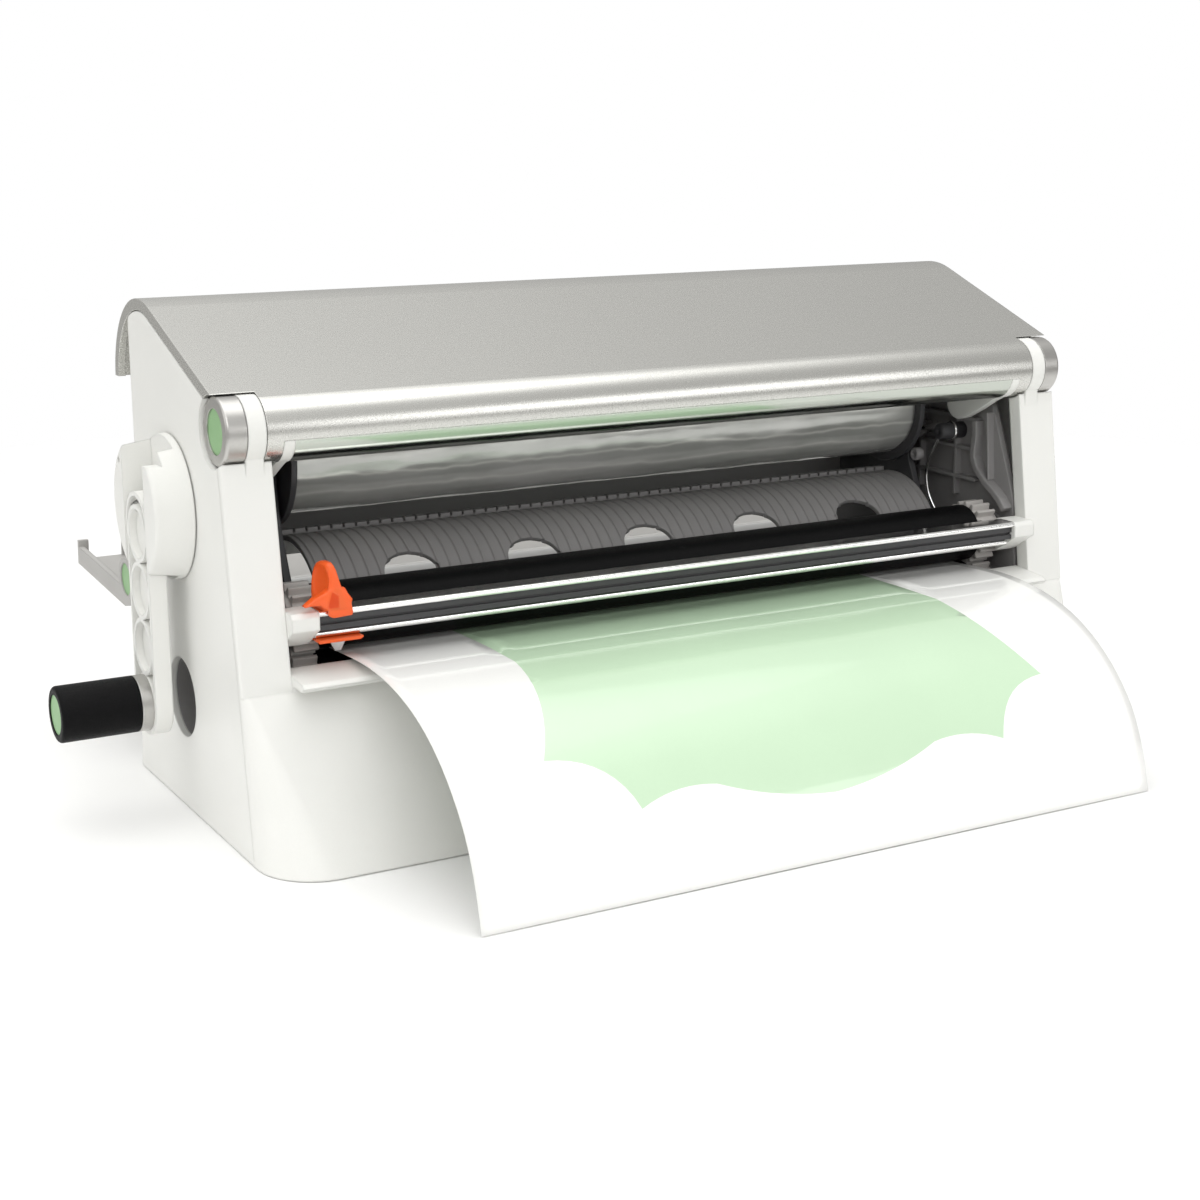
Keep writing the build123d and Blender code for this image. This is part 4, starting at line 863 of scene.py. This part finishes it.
def cutter_whole():
    """Orange slide: dished fin, pointed wing, skirt before the strip, web behind the rail, foot below."""
    low, high = SLIDE_BOX
    strip_low, strip_high = STRIP_BOX
    rail_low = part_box("cutter_rail")[0]
    base = strip_high.z + 0.35 * MM
    left, front = low.x, low.y + 0.1 * MM
    shape = fin_mesh(left, front, base)

    def placed(points):
        return [(left + x * MM, base + z * MM) for x, z in points]

    wing = placed([(3.4, 0.4), (0.6, 2.2), (-3.0, 2.3), (-5.4, 2.0), (-1.6, 4.8), (1.8, 6.2), (4.9, 8.0),
                   (8.4, 5.4), (8.4, 0.4)])
    slab(shape, wing, "y", front, front + 4.2 * MM, 0.45 * MM)
    skirt = placed([(10.6, 8.2), (11.9, 5.7), (13.6, 3.4), (13.1, 1.9), (13.7, -1.6), (13.3, -2.7),
                    (6.2, -3.1), (4.7, -2.6), (3.9, -1.8), (4.2, -0.5), (3.4, 1.4), (5.4, 8.4)])
    slab(shape, skirt, "y", front, strip_low.y - 0.3 * MM, 0.4 * MM)
    tab = placed([(11.0, 6.0), (13.6, 3.4), (13.1, 1.9), (12.4, 0.3), (8.2, 0.3), (8.2, 6.6)])
    slab(shape, tab, "y", front + 0.9 * MM, front + 11.0 * MM, 0.4 * MM)
    web_face = strip_high.y + 0.3 * MM
    web_right, web_left = left + 13.0 * MM, left + 3.4 * MM
    web = [(web_left, low.z + 0.2 * MM), (web_right, low.z + 0.2 * MM), (web_right, base + 2 * MM),
           (web_left, base + 2 * MM)]
    slab(shape, web, "y", web_face, high.y, 0.4 * MM)
    foot_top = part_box("cutter_rod")[0].z - 0.3 * MM
    foot_left = left + 1.6 * MM
    foot = [(foot_left, low.z), (high.x - 1.2 * MM, low.z), (high.x, low.z + 0.7 * MM), (high.x, foot_top),
            (foot_left, foot_top)]
    slab(shape, foot, "y", rail_low.y + 0.5 * MM, high.y, 0.35 * MM)
    return mesh_of(shape, "cutter_thumb_slide")


# ---------------------------------------------------------------- trims inside the right end
def band_outline(path, half):
    """Outline of a flat band that follows a path of (y, z) points."""
    spots = [Vector(point) for point in path]
    sides = []
    for index, spot in enumerate(spots):
        run = (spots[min(index + 1, len(spots) - 1)] - spots[max(index - 1, 0)]).normalized()
        sides.append(Vector((-run.y, run.x)) * half)
    return [tuple(spot + side) for spot, side in zip(spots, sides)] + [
        tuple(spot - side) for spot, side in reversed(list(zip(spots, sides)))
    ]


def cable_guide_mesh(face_x):
    """Curved flange and an upright fin moulded on the right inner frame, which faces -X at face_x."""
    shape = bmesh.new()
    path = [(-17.8, 132.6), (-18.5, 126.2), (-17.6, 120.5), (-17.4, 115.5), (-20.5, 110.1), (-26.5, 105.0),
            (-32.6, 101.6), (-37.0, 98.4), (-40.6, 94.6)]
    metres = [(y * MM, z * MM) for y, z in path]
    slab(shape, band_outline(metres, 1.6 * MM), "x", face_x - 4.8 * MM, face_x + 0.5 * MM, 0.5 * MM)
    fin = [(-28.4, 106.5), (-27.2, 106.0), (-24.6, 137.0), (-25.8, 137.4)]
    slab(shape, [(y * MM, z * MM) for y, z in fin], "x", face_x - 3.6 * MM, face_x + 0.5 * MM, 0.3 * MM)
    return mesh_of(shape, "cable_guide")


def collar_mesh(name, y, z, profile):
    """A turned collar about a line along X, from (x, radius) points in millimetres."""
    shape = bmesh.new()
    turned(shape, [(x * MM, radius * MM) for x, radius in profile], y * MM, z * MM, steps=48)
    return mesh_of(shape, name)


# ---------------------------------------------------------------- operators
class LAMINATOR_OT_finishes(bpy.types.Operator):
    """Build every finish and dress the CAD pieces that keep their own shape"""

    bl_idname = "laminator.finishes"
    bl_label = "Finishes"

    def execute(self, context):
        make_finishes()
        dress(*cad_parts)
        return {"FINISHED"}


class LAMINATOR_OT_gears(bpy.types.Operator):
    """Round the teeth of the roller gears"""

    bl_idname = "laminator.gears"
    bl_label = "Gear teeth"

    def execute(self, context):
        for name in ("upper_roller_gears", "lower_roller_gears"):
            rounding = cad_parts[name].modifiers.new("Rounded teeth", "BEVEL")
            rounding.width = 0.42 * MM
            rounding.segments = 3
            rounding.limit_method = "ANGLE"
        return {"FINISHED"}


class LAMINATOR_OT_film(bpy.types.Operator):
    """Wind the film roll"""

    bl_idname = "laminator.film"
    bl_label = "Film"

    def execute(self, context):
        wrap = add_piece("wound_film", film_mesh(), "upper_film", "film")
        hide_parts("upper_film_roll")
        return {"FINISHED"}


class LAMINATOR_OT_guide(bpy.types.Operator):
    """Shape the ribbed paper guide, and the grey plate of painted shade behind the film"""

    bl_idname = "laminator.guide"
    bl_label = "Paper guide"

    def execute(self, context):
        guide = add_piece("ribbed_guide", guide_mesh(), "housing", "frame_grey", smooth=False)
        thick = guide.modifiers.new("Thickness", "SOLIDIFY")
        thick.thickness = GUIDE_WALL
        thick.offset = -1.0
        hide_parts("paper_guide")
        # grey plate standing in for shade on the rear wall behind the film
        add_piece("rear_shade_plate", shade_plate_mesh(), "housing", "frame_grey", smooth=False)
        return {"FINISHED"}


class LAMINATOR_OT_trims(bpy.types.Operator):
    """Add the small fixed trims seen inside the right end"""

    bl_idname = "laminator.trims"
    bl_label = "Inner trims"

    def execute(self, context):
        face_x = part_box("bearing_bushes")[1].x - 3.0 * MM
        add_piece("cable_guide", cable_guide_mesh(face_x), "housing", "frame_grey", smooth=False)
        latch = [(163.0, 0.4), (163.0, 3.2), (163.6, 3.8), (169.4, 3.8), (177.2, 3.8), (177.2, 0.4)]
        add_piece("latch_boss", collar_mesh("latch_boss", -4.0, 126.4, latch), "housing", "dark_grey")
        ring = [(169.6, 3.6), (169.6, 4.3), (169.9, 4.6), (170.9, 4.6), (171.2, 4.3), (171.2, 3.6)]
        add_piece("latch_ring", collar_mesh("latch_ring", -4.0, 126.4, ring), "housing", "chrome")
        eyelet = [(155.9, 1.3), (155.9, 2.7), (156.2, 3.0), (159.6, 3.0), (159.9, 2.7), (159.9, 1.3)]
        add_piece("thread_eyelet", collar_mesh("thread_eyelet", 4.6, 115.2, eyelet), "housing", "frame_grey")
        strap = [(166.0, -1.0, 123.4), (165.4, 0.6, 119.0), (165.0, 4.0, 113.6), (165.0, 6.4, 106.0),
                 (165.2, 5.2, 97.4), (166.0, 1.6, 90.4), (168.0, -2.0, 84.0)]
        strap_points = [[value * MM for value in point] for point in strap]
        wire("cartridge_strap", strap_points, 0.8 * MM, "housing", "chrome")
        return {"FINISHED"}


class LAMINATOR_OT_sheet(bpy.types.Operator):
    """Lay the laminated project through the rollers and down to the table"""

    bl_idname = "laminator.sheet"
    bl_label = "Laminated sheet"

    def execute(self, context):
        mesh, length = sheet_mesh()
        project = add_piece("laminated_project", mesh, "housing", "sheet")
        mesh.materials.append(FINISHES["print"])
        thick = project.modifiers.new("Thickness", "SOLIDIFY")
        thick.thickness = 0.3 * MM
        thick.offset = -1.0
        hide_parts("laminated_sheet")
        return {"FINISHED"}


class LAMINATOR_OT_cutter(bpy.types.Operator):
    """Shape the orange cutter slide"""

    bl_idname = "laminator.cutter"
    bl_label = "Cutter"

    def execute(self, context):
        slide = add_piece("cutter_thumb_slide", cutter_whole(), "cutter", "orange")
        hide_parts("cutter_slide")
        return {"FINISHED"}


def area_light(name, place, aim, power, width, height):
    data = bpy.data.lights.new(name, "AREA")
    data.shape = "RECTANGLE"
    data.size, data.size_y = width, height
    data.energy = power
    lamp = bpy.data.objects.new(name, data)
    bpy.context.scene.collection.objects.link(lamp)
    lamp.location = place
    lamp.rotation_euler = (Vector(aim) - Vector(place)).to_track_quat("-Z", "Y").to_euler()
    return lamp


def floor_finish():
    """Pale floor that gives way to the white surround away from the object."""
    made = Finish("studio_floor", (0.94, 0.94, 0.935), 0.7)
    place = made.graph.add("ShaderNodeTexCoord").outputs["Object"]
    away = made.graph.add("ShaderNodeVectorMath", {0: place}, operation="LENGTH").outputs["Value"]
    kept = made.graph.remap(away, 0.45, 0.95, 1.0, 0.0)
    made.material.node_tree.links.new(kept, made.shader.inputs["Alpha"])
    clouds = made.effect("grain", scale=3.0, detail=3.0)["Mask"]
    specks = made.effect("grain", scale=600.0, detail=3.0)["Mask"]
    made.tint(clouds, 0.99, 0.5)
    made.bump(specks, 0.01 * MM)
    return made.done()


def pale_surround(strength):
    """White behind the object, and a soft sky that is lighter overhead for the reflections."""
    world = bpy.data.worlds.new("pale_surround")
    bpy.context.scene.world = world
    world.use_nodes = True
    graph = Graph(world.node_tree)
    direction = graph.add("ShaderNodeTexCoord").outputs["Generated"]
    way = graph.add("ShaderNodeSeparateXYZ", {0: direction}).outputs
    share = graph.remap(way["Z"], -0.1, 0.75, 0.0, 1.0)
    tone = graph.blend(share, (0.50, 0.495, 0.48, 1.0), (0.92, 0.92, 0.91, 1.0))
    right = graph.remap(way["X"], 0.1, 0.7, 0.0, 0.5)
    tone = graph.blend(right, tone, (0.20, 0.195, 0.19, 1.0))
    overhead = graph.remap(way["Z"], 0.78, 0.90, 0.0, 1.0)
    tone = graph.blend(overhead, tone, (2.0, 2.0, 1.97, 1.0))
    soft = graph.add("ShaderNodeBackground", {"Color": tone, "Strength": strength}).outputs[0]
    plain = graph.add("ShaderNodeBackground", {"Color": (1.0, 1.0, 1.0, 1.0), "Strength": 1.0}).outputs[0]
    seen = graph.add("ShaderNodeLightPath").outputs["Is Camera Ray"]
    mixed = graph.add("ShaderNodeMixShader", {0: seen, 1: soft, 2: plain}).outputs[0]
    graph.add("ShaderNodeOutputWorld", {"Surface": mixed})


class LAMINATOR_OT_stage(bpy.types.Operator):
    """Set the pale floor, the soft lights and the camera"""

    bl_idname = "laminator.stage"
    bl_label = "Studio"

    def execute(self, context):
        scene = context.scene
        studio = scene.laminator_studio
        shape = bmesh.new()
        bmesh.ops.create_grid(shape, x_segments=8, y_segments=8, size=4.0)
        floor_mesh = mesh_of(shape, "studio_floor")
        floor = bpy.data.objects.new("studio_floor", floor_mesh)
        scene.collection.objects.link(floor)
        floor.location.z = -0.3 * MM
        floor_mesh.materials.append(floor_finish())
        pale_surround(studio.sky)
        middle = (0.0, 0.0, 0.09)
        area_light("key_softbox", (-0.55, -1.25, 1.05), middle, studio.key, 1.2, 0.9)
        area_light("top_softbox", (0.1, 0.15, 1.45), middle, studio.top, 1.5, 1.2)
        area_light("side_softbox", (-1.35, 0.1, 0.6), middle, studio.side, 0.8, 0.9)
        area_light("fill_softbox", (0.75, -1.35, 0.42), middle, studio.fill, 0.8, 0.5)
        eye = bpy.data.cameras.new("studio_camera")
        eye.lens = studio.lens
        eye.sensor_width = 36.0
        eye.clip_start = 0.01
        camera = bpy.data.objects.new("studio_camera", eye)
        scene.collection.objects.link(camera)
        camera.location = studio.eye
        camera.rotation_euler = (math.pi / 2 - studio.dip, 0.0, -studio.heading)
        scene.camera = camera
        scene.view_settings.view_transform = "Standard"
        return {"FINISHED"}


STEPS = ("finishes", "gears", "film", "guide", "trims", "sheet", "cutter", "stage")


class LAMINATOR_PT_sidebar(bpy.types.Panel):
    """Lists the settings and the steps that build the looks"""

    bl_label = "Cold Laminator"
    bl_idname = "LAMINATOR_PT_sidebar"
    bl_space_type = "VIEW_3D"
    bl_region_type = "UI"
    bl_category = "Laminator"

    def draw(self, context):
        layout = self.layout
        scene = context.scene
        for heading, group in (
            ("Colours", scene.laminator_colours), ("Details", scene.laminator_details),
            ("Studio", scene.laminator_studio),
        ):
            layout.label(text=heading)
            for setting in group.bl_rna.properties.keys():
                if setting not in {"rna_type", "name"}:
                    layout.prop(group, setting)
        for step in STEPS:
            layout.operator(f"laminator.{step}")


CLASSES = (
    LaminatorColours, LaminatorDetails, LaminatorStudio, LAMINATOR_OT_finishes, LAMINATOR_OT_film,
    LAMINATOR_OT_gears, LAMINATOR_OT_guide, LAMINATOR_OT_trims, LAMINATOR_OT_sheet, LAMINATOR_OT_cutter,
    LAMINATOR_OT_stage, LAMINATOR_PT_sidebar,
)


def register():
    for made in CLASSES:
        bpy.utils.register_class(made)
    bpy.types.Scene.laminator_colours = PointerProperty(type=LaminatorColours)
    bpy.types.Scene.laminator_details = PointerProperty(type=LaminatorDetails)
    bpy.types.Scene.laminator_studio = PointerProperty(type=LaminatorStudio)


def unregister():
    for name in ("laminator_studio", "laminator_details", "laminator_colours"):
        delattr(bpy.types.Scene, name)
    for made in reversed(CLASSES):
        bpy.utils.unregister_class(made)


def main():
    register()
    for step in STEPS:
        getattr(bpy.ops.laminator, step)()


if __name__ == "__main__":
    main()
